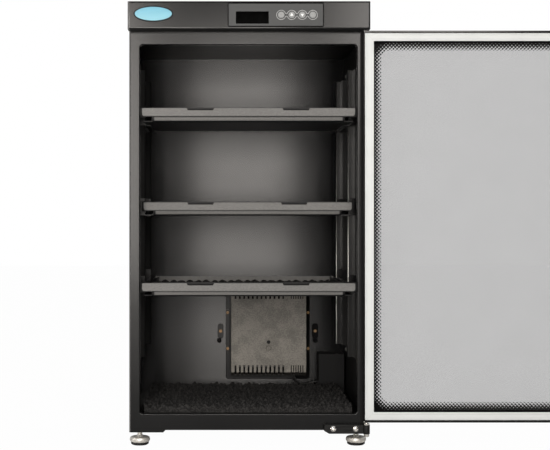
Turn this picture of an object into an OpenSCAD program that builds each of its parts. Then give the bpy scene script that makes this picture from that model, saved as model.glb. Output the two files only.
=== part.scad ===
// Electronic dry cabinet: a sheet steel desiccator cabinet with a glass door, three pull-out
// trays on slotted uprights, and a dehumidifying unit on the back wall.
// +X is the hinge side, -Y the front, +Z up. The origin is on the floor, midway between the feet.

/* [Cabinet] */
// Width of the steel carcass
body_w = 394; // [394:1:396]
// Depth of the carcass from the front frame to the back
body_d = 350; // [350:1:354]
// Height of the top over the floor
body_top = 734; // [734:1:738]
// Thickness of the sheet steel
sheet = 1.2; // [1:0.1:1.5]
// Height of the underside over the floor
base_z = 26; // [26:1:27]
// Width of the door opening
opening_w = 358.8; // [358.4:0.2:359.4]
// Lower edge of the door opening
opening_z0 = 57; // [56:1:58]
// Upper edge of the door opening
opening_z1 = 666; // [664:1:668]
// How far the header stands in front of the front frame
header_depth = 26; // [26:1:28]

/* [Door] */
// Width of the door
door_w = 396; // [395:0.5:396]
// Thickness of the door's steel frame
door_t = 23.3; // [23:0.1:23.3]
// Width of the magnetic gasket
gasket_w = 14; // [12:1:14]
// Thickness of the door glass
glass_t = 4; // [3:0.5:5]

/* [Shelves] */
// Pitch of the slots in the uprights
slot_pitch = 22.2; // [22:0.1:22.4]
// Slots that each shelf hangs above the lowest one
shelf_slots = [13, 6, 0];
// How far each front bar stands behind the front frame
shelf_set_back = [-3, 45, -4.5];
// Height of the front bars
bar_h = 14; // [12:1:15]
// Depth of a tray
tray_d = 258; // [240:2:262]

/* [Dry unit] */
// Width of the dry unit's moulded housing
unit_w = 142; // [142:1:144]
// Pitch of the wide air slots
vent_pitch = 8.2; // [8:0.1:8.4]
// Width of the wide air slots
vent_w = 3.4; // [3:0.1:3.8]

/* [Hidden] */
$fn = 48;

front_y = -175;                       // plane of the front frame
back_y = front_y + body_d;            // rear edge of the carcass
side_x = body_w / 2;                  // outer face of a side wall
wall_x = side_x - sheet;              // inner face of a side wall
header_y = front_y - header_depth;    // front face of the header
header_z = 688;                       // underside of the header
ceiling_z = 682;
floor_z = 45;                         // upper face of the floor pan
back_wall_y = front_y + 345;          // inner face of the back panel
lip_d = 12;                           // depth of the folded lip round the opening
carcass_fold = 2.5;                   // radius of the carcass's outer folds

// Hinge line of the door, and the door in its closed place
hinge_x = 193;
hinge_y = front_y - 13;
door_x = door_w / 2;
door_z0 = 46.5;
door_z1 = 686;
door_front = hinge_y - 12.3;
door_back = door_front + door_t;
door_box = 16;                        // width of the hollow section of the door frame
pin_r = 2.5;
glass_y = door_front + sheet;         // outer face of the glass
glass_in = glass_y + glass_t;
gasket_side = 1.5;                    // gasket's distance from the door's sides
gasket_end = 3;                       // gasket's distance from the door's top and bottom
gasket_y = front_y - 0.4;             // crest of the gasket when the door is shut
lock_x = -163;
lock_z = 340;
lock_r = 9.3;

// Uprights: front and rear pair, Z-shaped in plan
upright_ys = [front_y + 95, front_y + 300];
upright_web_x = 186.8;
upright_flange_x = 176.7;
upright_d = 27;
upright_z0 = 122;
upright_z1 = 651;
slot_z0 = 144.6;                      // middle of the lowest slot

// Shelves, highest first
shelf_z0 = 272.6;                     // top of the lowest front bar
bar_half = 175.5;
cap_half = 178.6;
tray_half = 159;
tray_drop = 22.4;                     // tray's underside below the bar's top
tray_fold = 6.5;                      // radius of a tray's lower front edge
upstand = 1.4;                        // tray's front wall stands this much above the bar
bar_face = 1.6;                       // thickness of a front bar's face
bar_d = 7.9;
runner_x = 175;                       // inner face of a runner's web
function shelf_top(i) = shelf_z0 + shelf_slots[i] * slot_pitch;
function bar_front(i) = front_y + shelf_set_back[i];

// Dry unit on the back wall
unit_x = 47.2;                        // middle of the housing
unit_y = front_y + 300;               // front face of the housing
unit_z0 = 78;
unit_z1 = 243.6;
unit_face_z0 = 85;                    // the face slants back below and above these
unit_face_z1 = 236.6;
unit_back = back_wall_y - 1.5;
unit_wall = 2.4;
vent_x0 = -15.5;                      // first wide slot
vent_count = 12;
fine_x0 = 90;                         // first narrow slot
fine_pitch = 4.4;
fine_count = 6;

// Control panel in the header
bezel_x = 43.55;
bezel_z = 711.25;
bezel_w = 156.7;
bezel_h = 39.3;
bezel_y = header_y - 2.2;
button_xs = [52.3, 69.5, 86.7, 103.8];
button_z = 711;
button_r = 5.4;
window_x = 5.35;
window_z = 706.75;
window_w = 53.7;
window_h = 20.1;

// Feet
foot_x = 181.3;
foot_y = 140;
stud_r = 4;

// Rear right corner box and its lead
box_x0 = 142;
box_x1 = 190;
box_top = 119.5;
lead_r = 2.3;
lead_y = 146;
lead_route = [
    [98, 73], [98, 70.6], [99, 68.2], [101.4, 65.8], [104.8, 63.6], [109, 62.1], [114, 61.3],
    [119, 61.2], [124, 61.8], [128.5, 62.8], [132, 63.6], [135, 64], [138, 64],
];

// ---------- shared shapes ----------

module rounded(w, h, r) {
    x = w / 2 - r;
    z = h / 2 - r;
    union() {
        square([w - 2 * r, h], center = true);
        square([w, h - 2 * r], center = true);
        for (sx = [-1, 1], sz = [-1, 1]) translate([sx * x, sz * z]) circle(r);
    }
}

// Extrudes a shape drawn in X and Z from y0 to y1
module upright_plate(y0, y1) {
    translate([0, y1, 0]) rotate([90, 0, 0]) linear_extrude(y1 - y0) children();
}

module block(x0, x1, y0, y1, z0, z1) {
    translate([x0, y0, z0]) cube([x1 - x0, y1 - y0, z1 - z0]);
}

// A round bar along Y from y0 to y1
module rod_y(x, z, r, y0, y1) {
    translate([x, y1, z]) rotate([90, 0, 0]) cylinder(r = r, h = y1 - y0);
}

module rod_z(x, y, r, z0, z1) {
    translate([x, y, z0]) cylinder(r = r, h = z1 - z0);
}

module both_sides() {
    children();
    mirror([1, 0, 0]) children();
}

// Puts a shape drawn on the closed door where the open door holds it
module on_open_door() {
    translate([hinge_x, hinge_y, 0]) rotate([0, 0, 180]) translate([-hinge_x, -hinge_y, 0]) children();
}

module frame_ring(half_w, z0, z1, inner, r, y0, y1) {
    translate([0, 0, (z0 + z1) / 2]) upright_plate(y0, y1) difference() {
        rounded(2 * half_w, z1 - z0, r);
        rounded(2 * (half_w - inner), z1 - z0 - 2 * inner, max(r - inner, 1));
    }
}

// Waste outside a fold of radius r, along the front edge of an opening w by h at y = 0
module fold_waste(w, h, corner, r) {
    for (k = [0 : 3]) rotate([0, 90 * k, 0]) {
        half = k % 2 == 0 ? w / 2 : h / 2;
        reach = (k % 2 == 0 ? h / 2 : w / 2) - corner;
        translate([half, 0, -reach]) linear_extrude(2 * reach) fold_section(r);
        translate([half - corner, 0, -reach]) rotate([-90, 0, 0])
            rotate_extrude(angle = 90) translate([corner, 0]) fold_section(r);
    }
}

// Cross-section of that waste: a square corner outside a quarter circle
module fold_section(r) {
    difference() {
        translate([-0.5, -0.5]) square(r + 0.5);
        translate([r, r]) circle(r);
    }
}

// Pad with a wavy top: straight ridges from front to back
module ridged_pad(w, d, base, peak, pitch) {
    count = floor(w / pitch);
    side = (w - count * pitch) / 2;
    ridges = [for (i = [0 : count - 1]) each [
        [side + i * pitch, base], [side + (i + 0.35) * pitch, peak], [side + (i + 0.65) * pitch, peak],
    ]];
    translate([-w / 2, d, 0]) rotate([90, 0, 0]) linear_extrude(d)
        polygon(concat([[0, 0], [0, base]], ridges, [[w - side, base], [w, base], [w, 0]]));
}

// ---------- carcass ----------

// Waste outside the folds at the carcass's front corners
module corner_waste() {
    both_sides() translate([side_x, front_y, base_z - 1]) mirror([1, 0, 0])
        linear_extrude(body_top - base_z + 2) fold_section(carcass_fold);
}

module cabinet_shell() {
    flange = 11;
    color([0.12, 0.12, 0.12]) difference() {
        block(-side_x, side_x, front_y + sheet, back_y, base_z, body_top);
        corner_waste();
        // folds between the sides and the top
        both_sides() translate([-side_x, back_y + 1, body_top]) rotate([90, 90, 0])
            linear_extrude(body_d + 2) fold_section(carcass_fold);
        block(-wall_x, wall_x, front_y, back_y - sheet, base_z - 1, body_top - sheet);
        block(-wall_x + flange, wall_x - flange, back_y - 2, back_y + 1, base_z - 1, body_top - sheet - flange);
    }
}

module back_panel() {
    z0 = base_z + 4;
    z1 = body_top - 2 * sheet;
    color([0.14, 0.14, 0.14]) difference() {
        block(-wall_x, wall_x, back_wall_y, back_y - sheet, z0, z1);
        block(-wall_x + sheet, wall_x - sheet, back_wall_y + sheet, back_y, z0 + sheet, z1 - sheet);
        // air slots behind the dry unit
        for (i = [0 : vent_count - 1]) {
            x = vent_x0 + i * vent_pitch;
            block(x - vent_w / 2, x + vent_w / 2, back_wall_y - 1, back_y, 196, 222);
        }
        // opening for the power inlet
        block(152, 180, back_wall_y - 1, back_y, 72, 92);
        // hole for the wires up to the control board
        rod_y(-150, 700, 6, back_wall_y - 1, back_wall_y + 3);
    }
}

module front_frame() {
    step_x = 137;
    rail_z = 30;
    chamfer = 3;
    opening_h = opening_z1 - opening_z0;
    opening_z = (opening_z0 + opening_z1) / 2;
    half = [
        [0, rail_z], [step_x, rail_z], [step_x + rail_z - base_z, base_z],
        [side_x - chamfer, base_z], [side_x, base_z + chamfer], [side_x, body_top], [0, body_top],
    ];
    color([0.15, 0.15, 0.15]) difference() {
        union() {
            upright_plate(front_y, front_y + sheet) union() {
                polygon(half);
                mirror([1, 0]) polygon(half);
            }
            translate([0, 0, opening_z]) upright_plate(front_y, front_y + lip_d)
                rounded(opening_w + 2 * sheet, opening_h + 2 * sheet, 5 + sheet);
        }
        translate([0, 0, opening_z]) upright_plate(front_y - 1, front_y + lip_d + 1)
            rounded(opening_w, opening_h, 5);
        translate([0, front_y, opening_z]) fold_waste(opening_w, opening_h, 5, 1.8);
        corner_waste();
        // window behind the control panel
        block(-34, 120, front_y - 1, front_y + 2, 694, 729);
        // holes for the hinge bracket's screws
        for (x = [138.6, 175.6]) rod_y(x, 34.3, 2.1, front_y - 1, front_y + 2);
    }
}

module floor_pan() {
    rail_in = 141;
    leg_top = floor_z - sheet;
    y0 = front_y + sheet + 0.1;
    y1 = back_wall_y - 0.1;
    x1 = wall_x - 0.1;
    color([0.13, 0.13, 0.13]) difference() {
        union() {
            block(-x1, x1, y0, y1, leg_top, floor_z);
            both_sides() {
                block(x1 - sheet, x1, y0, y1, base_z, leg_top);
                block(rail_in, x1 - sheet, y0, y1, base_z, base_z + sheet);
                block(rail_in, rail_in + sheet, y0, y1, base_z + sheet, leg_top);
            }
            for (x = [-foot_x, foot_x], y = [-foot_y, foot_y])
                rod_z(x, y, 8, base_z + sheet, leg_top - 3);
        }
        for (x = [-foot_x, foot_x], y = [-foot_y, foot_y])
            rod_z(x, y, stud_r + 0.05, base_z - 1, leg_top - 2);
    }
}

module ceiling_panel() {
    color([0.13, 0.13, 0.13]) union() {
        block(-wall_x + 0.1, wall_x - 0.1, front_y + sheet + 0.1, back_wall_y - 0.1, ceiling_z, ceiling_z + sheet);
        block(-wall_x + 0.1, wall_x - 0.1, back_wall_y - 1.3, back_wall_y - 0.1, ceiling_z + sheet, ceiling_z + 10);
    }
}

// ---------- header and control panel ----------

// The header's body, drawn in by inset, with all its front edges rounded
module header_body(inset, r) {
    half = 198 - inset;
    y0 = header_y + inset;
    z0 = header_z + inset;
    z1 = body_top - inset;
    intersection() {
        union() {
            block(-half, half, y0 + r, front_y + inset, z0, z1);
            block(-half + r, half - r, y0, front_y + inset, z0, z1);
            both_sides() rod_z(half - r, y0 + r, r, z0, z1);
        }
        union() {
            block(-half, half, y0 + r, front_y + inset, z0, z1);
            block(-half, half, y0, front_y + inset, z0 + r, z1 - r);
            for (z = [z0 + r, z1 - r])
                translate([-half, y0 + r, z]) rotate([0, 90, 0]) cylinder(r = r, h = 2 * half);
        }
    }
}

module header_fascia() {
    edge = 3;
    color([0.2, 0.2, 0.19]) difference() {
        header_body(0, edge);
        header_body(sheet, edge - sheet);
        // opening for the back of the control panel
        block(-30, 117, header_y - 1, header_y + 2, 694.5, 728);
        // hole for the upper hinge pin
        rod_z(hinge_x, hinge_y, pin_r + 0.05, header_z - 1, header_z + 2);
    }
}

module ellipse_plate(a, b, y0, y1) {
    steps = 60;
    upright_plate(y0, y1) polygon([for (i = [0 : steps - 1]) [a * cos(360 * i / steps), b * sin(360 * i / steps)]]);
}

module badge_plate() {
    translate([-155.9, 0, 713]) {
        color([0.75, 0.75, 0.75]) ellipse_plate(32.3, 13, header_y - 1.2, header_y);
        color([0.45, 0.75, 0.86]) ellipse_plate(30.6, 11.2, header_y - 1.6, header_y - 1.2);
    }
}

module control_bezel() {
    rim = 1.6;
    color([0.36, 0.37, 0.37]) difference() {
        union() {
            translate([bezel_x, 0, bezel_z]) upright_plate(bezel_y, header_y) rounded(bezel_w, bezel_h, 3);
            block(-29.5, 116.5, header_y, header_y + 7, 695, 727.5);
        }
        // sunk face inside the rim
        translate([bezel_x, 0, bezel_z]) upright_plate(bezel_y - 1, bezel_y + 0.6)
            rounded(bezel_w - 2 * rim, bezel_h - 2 * rim, 1.8);
        // open back that holds the control board
        block(-28, 115, header_y + 0.6, header_y + 8, 696.4, 726);
        // display window
        block(window_x - window_w / 2, window_x + window_w / 2, bezel_y - 1, header_y + 1,
            window_z - window_h / 2, window_z + window_h / 2);
        for (x = button_xs) rod_y(x, button_z, button_r + 0.15, bezel_y - 1, header_y + 1);
    }
}

module display_window() {
    color([0.01, 0.01, 0.01])
        block(window_x - window_w / 2 + 0.1, window_x + window_w / 2 - 0.1, bezel_y + 0.9, header_y + 0.6,
            window_z - window_h / 2 + 0.1, window_z + window_h / 2 - 0.1);
}

module control_board() {
    board_y = header_y + 8.2;
    color([0.1, 0.3, 0.2]) union() {
        block(-29, 116, board_y, board_y + 1.6, 695, 727.5);
        // display module behind the window
        block(window_x - 27, window_x + 27, header_y + 1.4, board_y, window_z - 9.5, window_z + 9.5);
        // push switches behind the buttons
        for (x = button_xs) block(x - 3, x + 3, header_y + 5, board_y, button_z - 3, button_z + 3);
        // humidity controller parts on the back
        block(-20, 5, board_y + 1.6, board_y + 8, 700, 718);
        for (x = [20, 40, 60]) rod_y(x, 708, 4, board_y + 1.6, board_y + 12);
        block(80, 110, board_y + 1.6, board_y + 10, 698, 708);
    }
}

module button(x) {
    color([0.62, 0.62, 0.6]) union() {
        rod_y(x, button_z, button_r - 0.5, bezel_y - 1, bezel_y - 0.5);
        rod_y(x, button_z, button_r, bezel_y - 0.5, header_y + 0.7);
        rod_y(x, button_z, button_r + 1, header_y + 0.7, header_y + 1.5);
        rod_y(x, button_z, 1.8, header_y + 1.5, header_y + 4);
    }
}

module button_menu() button(button_xs[0]);
module button_up() button(button_xs[1]);
module button_down() button(button_xs[2]);
module button_set() button(button_xs[3]);

// ---------- shelf support ----------

// Right-hand upright whose front corner stands at y0
module shelf_upright(y0) {
    web_z0 = upright_z0 + 14;
    web_z1 = upright_z1 - 14;
    hem_r = 1.2;
    x0 = upright_web_x;
    y1 = y0 + upright_d;
    difference() {
        union() {
            // front flange to the wall and its foot along the wall
            block(x0, wall_x, y0, y0 + sheet, web_z0, web_z1);
            block(wall_x - sheet, wall_x, y0 + sheet, y0 + 11, upright_z0, upright_z1);
            // web with the slots
            block(x0, x0 + sheet, y0 + sheet, y1, web_z0, web_z1);
            // rear flange that guides the runners
            block(upright_flange_x + hem_r, x0, y1 - sheet, y1, web_z0, web_z1);
            rod_z(upright_flange_x + hem_r, y1 - hem_r, hem_r, web_z0, web_z1);
        }
        for (i = [0 : 21]) {
            z = slot_z0 + i * slot_pitch;
            block(x0 - 1, x0 + sheet + 1, y0 + 4.5, y0 + 7.5, z - 4.5, z + 4.5);
        }
        for (z = [upright_z0 + 6, upright_z1 - 6])
            translate([x0 - 1, y0 + 6.5, z]) rotate([0, 90, 0]) cylinder(r = 2.1, h = 12);
    }
}

module shelf_uprights() {
    color([0.16, 0.16, 0.16]) both_sides() for (y = upright_ys) shelf_upright(y);
}

module shelf_screws() {
    head_h = 2;
    color([0.75, 0.74, 0.7]) both_sides() for (y = upright_ys, z = [upright_z0 + 6, upright_z1 - 6])
        translate([wall_x - sheet - head_h, y + 6.5, z]) rotate([0, 90, 0]) union() {
            cylinder(r1 = 2.6, r2 = 3.6, h = head_h);
            cylinder(r = 2.05, h = head_h + sheet);
        }
}

// Right-hand runner for shelf i: a channel open to the middle, with hook plates at both uprights
module runner(i) {
    top = shelf_top(i);
    z0 = top - 23;
    z1 = top - 4.4;
    y0 = upright_ys[0] - 3;
    y1 = upright_ys[1] + upright_d + 2;
    hook_z = slot_z0 + slot_pitch * round((top - 14 - slot_z0) / slot_pitch);
    color([0.1, 0.1, 0.1]) union() {
        block(runner_x, runner_x + sheet, y0, y1, z0, z1);
        block(runner_x - 9, runner_x, y0, y1, z0, z0 + sheet);
        block(runner_x - 9, runner_x, y0, y1, z1 - sheet, z1);
        // rear stop
        block(runner_x - 9, runner_x, y1 - sheet, y1, z0 + sheet, z1 - sheet);
        for (y = upright_ys) {
            // hook plate in front of the upright, and its hook through the slot
            block(runner_x + sheet, wall_x - 1, y - 1.8, y - 0.3, top - 22, top + 7);
            block(runner_x + sheet, upright_web_x - 0.2, y - 0.3, y + 4.9, hook_z - 3.5, hook_z + 3.5);
            block(runner_x + sheet, upright_web_x + sheet + 2.5, y + 4.9, y + 7.1, hook_z - 3.5, hook_z + 3.5);
        }
    }
}

module runners_right() {
    for (i = [0 : 2]) runner(i);
}

module runners_left() {
    mirror([1, 0, 0]) for (i = [0 : 2]) runner(i);
}

// ---------- shelves ----------

// A tray's body from y0 to y1, with its lower front edge rounded
module tray_body(half, y0, y1, z0, z1, r) {
    block(-half, half, y0, y1, z0 + r, z1);
    block(-half, half, y0 + r, y1, z0, z1);
    translate([-half, y0 + r, z0 + r]) rotate([0, 90, 0]) cylinder(r = r, h = 2 * half);
}

module tray(i) {
    top = shelf_top(i);
    y0 = bar_front(i) + 8;
    y1 = y0 + tray_d - 8;
    z0 = top - tray_drop;
    lip_z = top - 3;
    rail_x = runner_x - 1.1;
    rail_z0 = z0 + 1;
    rail_z1 = top - 6;
    color([0.1, 0.1, 0.1]) union() {
        difference() {
            tray_body(tray_half, y0, y1, z0, lip_z, tray_fold);
            tray_body(tray_half - sheet, y0 + sheet, y1 - sheet, z0 + sheet, lip_z + 1, tray_fold - sheet);
        }
        // upstand behind the front bar
        block(-tray_half, tray_half, y0, y0 + sheet, lip_z, top + upstand);
        both_sides() {
            // sliding rail: a channel that runs inside the fixed runner
            block(tray_half, tray_half + sheet, y0, y0 + tray_fold, z0 + tray_fold + 2, rail_z1);
            block(tray_half, tray_half + sheet, y0 + tray_fold, y1 - 3, rail_z0, rail_z1);
            block(tray_half + sheet, rail_x, y0 + tray_fold, y1 - 3, rail_z1 - sheet, rail_z1);
            block(tray_half + sheet, rail_x, y0 + tray_fold, y1 - 3, rail_z0, rail_z0 + sheet);
            // folded tab at the rear corner
            block(tray_half, tray_half + 5.5, y1 - sheet, y1, top - 20, lip_z);
        }
    }
}

module bar_outline(half, h, r_low, r_up) {
    hull() {
        translate([-half + r_low, -h + r_low]) circle(r_low);
        translate([half - r_low, -h + r_low]) circle(r_low);
        translate([-half + r_up, -r_up]) circle(r_up);
        translate([half - r_up, -r_up]) circle(r_up);
    }
}

// Finger notch in the bar's upper edge, with slanted ends
module bar_notch(x0, x1) {
    depth = 3.6;
    polygon([[x0 - 1.5, 1], [x0, 0.1], [x0 + 1.6, -depth], [x1 - 1.6, -depth], [x1, 0.1], [x1 + 1.5, 1]]);
}

module front_bar(i) {
    top = shelf_top(i);
    y0 = bar_front(i);
    color([0.56, 0.56, 0.54]) translate([0, 0, top]) difference() {
        upright_plate(y0, y0 + bar_d) bar_outline(bar_half, bar_h, 5.5, 1.5);
        translate([0, 0, -bar_face]) upright_plate(y0 + bar_face, y0 + bar_d + 1)
            bar_outline(bar_half - bar_face, bar_h - 2 * bar_face, 4, 0.5);
        upright_plate(y0 - 1, y0 + bar_d + 1) {
            bar_notch(-102, -57);
            bar_notch(56, 101);
        }
    }
}

// Black core of a front bar, with a cap and a screwed arm at each end
module end_caps(i) {
    top = shelf_top(i);
    y0 = bar_front(i);
    play = 0.15;
    arm_x = tray_half + sheet + 0.1;
    color([0.04, 0.04, 0.04]) union() {
        both_sides() difference() {
            union() {
                block(bar_half - 6, cap_half, y0 + 0.8, y0 + 10.8, top - bar_h - 0.6, top + upstand);
                // arm that screws to the sliding rail
                block(arm_x, bar_half - 6, y0 + bar_d + 0.3, y0 + 10.8, top - bar_h, top + upstand);
            }
            translate([0, 0, top]) upright_plate(y0 - 1, y0 + bar_d + 0.2)
                bar_outline(bar_half + 0.1, bar_h + 0.1, 5.5, 1.5);
        }
        // core that shows in the finger notches
        translate([0, 0, top - bar_face - play]) upright_plate(y0 + bar_face + play, y0 + bar_d)
            bar_outline(bar_half - bar_face - play, bar_h - 2 * (bar_face + play), 3.9, 0.4);
        both_sides() block(arm_x, bar_half - 8, y0 + bar_d, y0 + bar_d + 0.3, top - 11, top - 3);
    }
}

module shelf_foam(i) {
    gap = 2;
    front_gap = tray_fold - sheet + 0.2;
    w = 2 * (tray_half - sheet - gap);
    y0 = bar_front(i) + 8 + sheet + front_gap;
    color([0.2, 0.2, 0.22]) translate([0, y0, shelf_top(i) - tray_drop + sheet])
        ridged_pad(w, tray_d - 8 - 2 * sheet - gap - front_gap, 7, 14.5, 15);
}

module tray_1() tray(0);
module tray_2() tray(1);
module tray_3() tray(2);
module front_bar_1() front_bar(0);
module front_bar_2() front_bar(1);
module front_bar_3() front_bar(2);
module end_caps_1() end_caps(0);
module end_caps_2() end_caps(1);
module end_caps_3() end_caps(2);
module foam_1() shelf_foam(0);
module foam_2() shelf_foam(1);
module foam_3() shelf_foam(2);

module floor_foam() {
    color([0.2, 0.2, 0.22]) translate([0, front_y + 20, floor_z]) ridged_pad(346, 255, 14, 27, 15);
}

// ---------- door ----------

// Prism that takes the sharp front edge off one side of the door
module edge_cut(len) {
    c = 2;
    translate([0, 0, -len / 2]) linear_extrude(len) polygon([[-1, -1], [c + 1, -1], [-1, c + 1]]);
}

module door_frame() {
    h = door_z1 - door_z0;
    mid_z = (door_z0 + door_z1) / 2;
    color([0.1, 0.1, 0.1]) on_open_door() difference() {
        translate([0, 0, mid_z]) upright_plate(door_front, door_back) rounded(door_w, h, 3);
        // view through the frame
        translate([0, 0, mid_z]) upright_plate(door_front - 1, door_back + 1)
            rounded(door_w - 2 * door_box, h - 2 * door_box, 3);
        // seat of the glass behind the front lip
        translate([0, 0, mid_z]) upright_plate(glass_y, glass_in + 0.1) rounded(door_w - 2 * sheet, h - 2 * sheet, 2);
        // hollow of the section, behind the glass
        frame_ring(door_x - sheet, door_z0 + sheet, door_z1 - sheet, door_box - 2 * sheet, 2,
            glass_in + 0.05, door_back - sheet);
        // front lip, cut back from the glass
        translate([0, 0, mid_z]) upright_plate(door_front - 1, glass_y + 0.01) rounded(door_w - 14, h - 14, 4);
        for (sx = [-1, 1]) translate([sx * door_x, door_front, mid_z]) mirror([sx > 0 ? 1 : 0, 0, 0]) edge_cut(h + 2);
        for (z = [door_z0, door_z1]) rod_z(hinge_x, hinge_y, 3.7, z - 13, z + 13);
    }
}

module door_gasket() {
    z0 = door_z0 + gasket_end;
    z1 = door_z1 - gasket_end;
    half = door_x - gasket_side;
    color([0.87, 0.87, 0.85]) on_open_door() difference() {
        union() {
            frame_ring(half, z0, z1, gasket_w, 2, door_back, door_back + 0.7);
            frame_ring(half - 1.5, z0 + 1.5, z1 - 1.5, gasket_w - 3, 1.5, door_back + 0.7, gasket_y);
        }
        // groove along the outer edge
        frame_ring(half - 3.6, z0 + 3.6, z1 - 3.6, 1, 1, door_back + 1, gasket_y + 1);
    }
}

module door_glass() {
    h = door_z1 - door_z0;
    color([0.72, 0.75, 0.78, 0.5]) on_open_door() difference() {
        translate([0, 0, (door_z0 + door_z1) / 2]) upright_plate(glass_y + 0.05, glass_in)
            rounded(door_w - 2 * sheet - 0.4, h - 2 * sheet - 0.4, 2);
        rod_y(lock_x, lock_z, lock_r + 0.2, glass_y - 1, glass_in + 1);
        for (z = [lock_z - 45, lock_z + 45]) rod_y(lock_x, z, 2.7, glass_y - 1, glass_in + 1);
    }
}

module door_bushes() {
    color([0.9, 0.9, 0.88]) on_open_door() difference() {
        union() {
            rod_z(hinge_x, hinge_y, 4.5, door_z0 - 1, door_z0);
            rod_z(hinge_x, hinge_y, 3.65, door_z0, door_z0 + 12);
            rod_z(hinge_x, hinge_y, 3.65, door_z1 - 12, door_z1);
            rod_z(hinge_x, hinge_y, 4.5, door_z1, door_z1 + 1);
        }
        rod_z(hinge_x, hinge_y, pin_r + 0.05, door_z0 - 2, door_z1 + 2);
    }
}

module lock_body() {
    color([0.6, 0.6, 0.6]) on_open_door() difference() {
        union() {
            rod_y(lock_x, lock_z, 12.5, glass_y - 8.4, glass_y - 6.2);
            rod_y(lock_x, lock_z, lock_r, glass_y - 6.2, -166);
            // nut and washer on the inside of the glass
            rod_y(lock_x, lock_z, 13, glass_in, glass_in + 1.2);
            translate([lock_x, glass_in + 6.2, lock_z]) rotate([90, 0, 0]) cylinder(r = 12.5, h = 5, $fn = 6);
        }
        rod_y(lock_x, lock_z, 5.6, glass_y - 9, -165);
    }
}

module lock_plug() {
    color([0.75, 0.75, 0.72]) on_open_door() difference() {
        union() {
            rod_y(lock_x, lock_z, 5.55, glass_y - 8.6, -165.8);
            block(lock_x - 2.5, lock_x + 2.5, -165.8, -156.5, lock_z - 2.5, lock_z + 2.5);
        }
        // key slot
        block(lock_x - 0.6, lock_x + 0.6, glass_y - 9, glass_y - 2, lock_z - 3.2, lock_z + 3.2);
    }
}

module lock_cam() {
    color([0.7, 0.7, 0.68]) on_open_door() difference() {
        union() {
            block(lock_x - 6, lock_x + 6, -161.4, -159.4, lock_z - 22, lock_z);
            rod_y(lock_x, lock_z, 6, -161.4, -159.4);
        }
        block(lock_x - 2.5, lock_x + 2.5, -162, -159, lock_z - 2.5, lock_z + 2.5);
    }
}

// Pull on the door's free side, clamped to the glass with the lock through its middle
module door_grip() {
    y1 = glass_y + 0.05;
    color([0.06, 0.06, 0.06]) on_open_door() difference() {
        union() {
            translate([lock_x - 5.5, 0, lock_z]) upright_plate(y1 - 6, y1) rounded(38, 120, 6);
            // raised ridge for the fingers
            translate([lock_x - 19, 0, lock_z]) upright_plate(y1 - 15, y1 - 6) rounded(9, 112, 3);
        }
        rod_y(lock_x, lock_z, lock_r + 0.1, y1 - 7, y1 + 1);
        // finger hollow under the ridge
        translate([lock_x - 14.4, y1 - 6, lock_z]) linear_extrude(80, center = true)
            polygon([[1, -7], [0, -7], [-4, -4], [-3, 0], [1, 0]]);
    }
    // screws through the glass
    color([0.06, 0.06, 0.06]) on_open_door() for (z = [lock_z - 45, lock_z + 45])
        rod_y(lock_x, z, 2.5, y1, glass_in + 0.8);
}

// ---------- hinges ----------

module hinge_bracket() {
    x0 = 124;
    z1 = 41;
    front = hinge_y + 0.5;
    color([0.08, 0.08, 0.08]) difference() {
        union() {
            upright_plate(front, front_y) polygon([
                [x0, base_z + 4.5], [x0 + 8, base_z], [hinge_x - 4, base_z], [hinge_x - 4, z1],
                [x0 + 2, z1], [x0, z1 - 2],
            ]);
            rod_z(hinge_x, hinge_y, 5.5, base_z, z1);
            block(hinge_x - 5, hinge_x + 3.5, hinge_y, hinge_y + 5, base_z, z1);
        }
        rod_z(hinge_x, hinge_y, pin_r + 0.05, base_z - 1, z1 + 1);
        for (x = [138.6, 175.6]) rod_y(x, 34.3, 2.1, front - 1, front_y + 1);
        // hollow behind the face
        block(x0 + 18, 172, front + 3, front_y + 1, base_z + 3, z1 - 3);
    }
}

module hinge_screws() {
    front = hinge_y + 0.5;
    color([0.8, 0.79, 0.75]) for (x = [138.6, 175.6]) difference() {
        union() {
            intersection() {
                translate([x, front + 4.2, 34.3]) sphere(r = 6.9);
                rod_y(x, 34.3, 4.7, front - 3.2, front);
            }
            rod_y(x, 34.3, 2.05, front, front_y + 6);
        }
        block(x - 2.3, x + 2.3, front - 4, front - 1.2, 34.3 - 0.5, 34.3 + 0.5);
        block(x - 0.5, x + 0.5, front - 4, front - 1.2, 34.3 - 2.3, 34.3 + 2.3);
    }
}

module hinge_pins() {
    color([0.8, 0.78, 0.72]) union() {
        rod_z(hinge_x, hinge_y, pin_r, base_z - 5, door_z0 + 11);
        // washer under the door and nut under the bracket
        rod_z(hinge_x, hinge_y, 5, 41, 43.2);
        translate([hinge_x, hinge_y, base_z - 4]) cylinder(r = 4.4, h = 4, $fn = 6);
    }
    color([0.8, 0.78, 0.72]) union() {
        rod_z(hinge_x, hinge_y, pin_r, door_z1 - 11, header_z + 7);
        rod_z(hinge_x, hinge_y, 3.6, header_z + 4.3, header_z + 7);
    }
}

module upper_hinge_plate() {
    z0 = header_z + sheet;
    color([0.3, 0.3, 0.3]) difference() {
        union() {
            block(150, 196.5, hinge_y - 9, front_y, z0, z0 + 3);
            block(150, 196.5, front_y - 3, front_y, z0 + 3, z0 + 22);
        }
        rod_z(hinge_x, hinge_y, pin_r + 0.05, z0 - 1, z0 + 4);
    }
}

// ---------- dry unit ----------

// Side view of the housing: the face slants back at its foot and head
module unit_profile(inset) {
    slant = 7;
    polygon([
        [unit_y + inset, unit_face_z0 + inset / 2], [unit_y + inset, unit_face_z1 - inset / 2],
        [unit_y + slant + inset, unit_z1 - inset], [unit_back + (inset > 0 ? 1 : 0), unit_z1 - inset],
        [unit_back + (inset > 0 ? 1 : 0), unit_z0 + inset], [unit_y + slant + inset, unit_z0 + inset],
    ]);
}

module unit_solid(inset) {
    half = unit_w / 2 - inset;
    translate([unit_x - half, 0, 0]) rotate([90, 0, 90]) linear_extrude(2 * half) unit_profile(inset);
}

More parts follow.
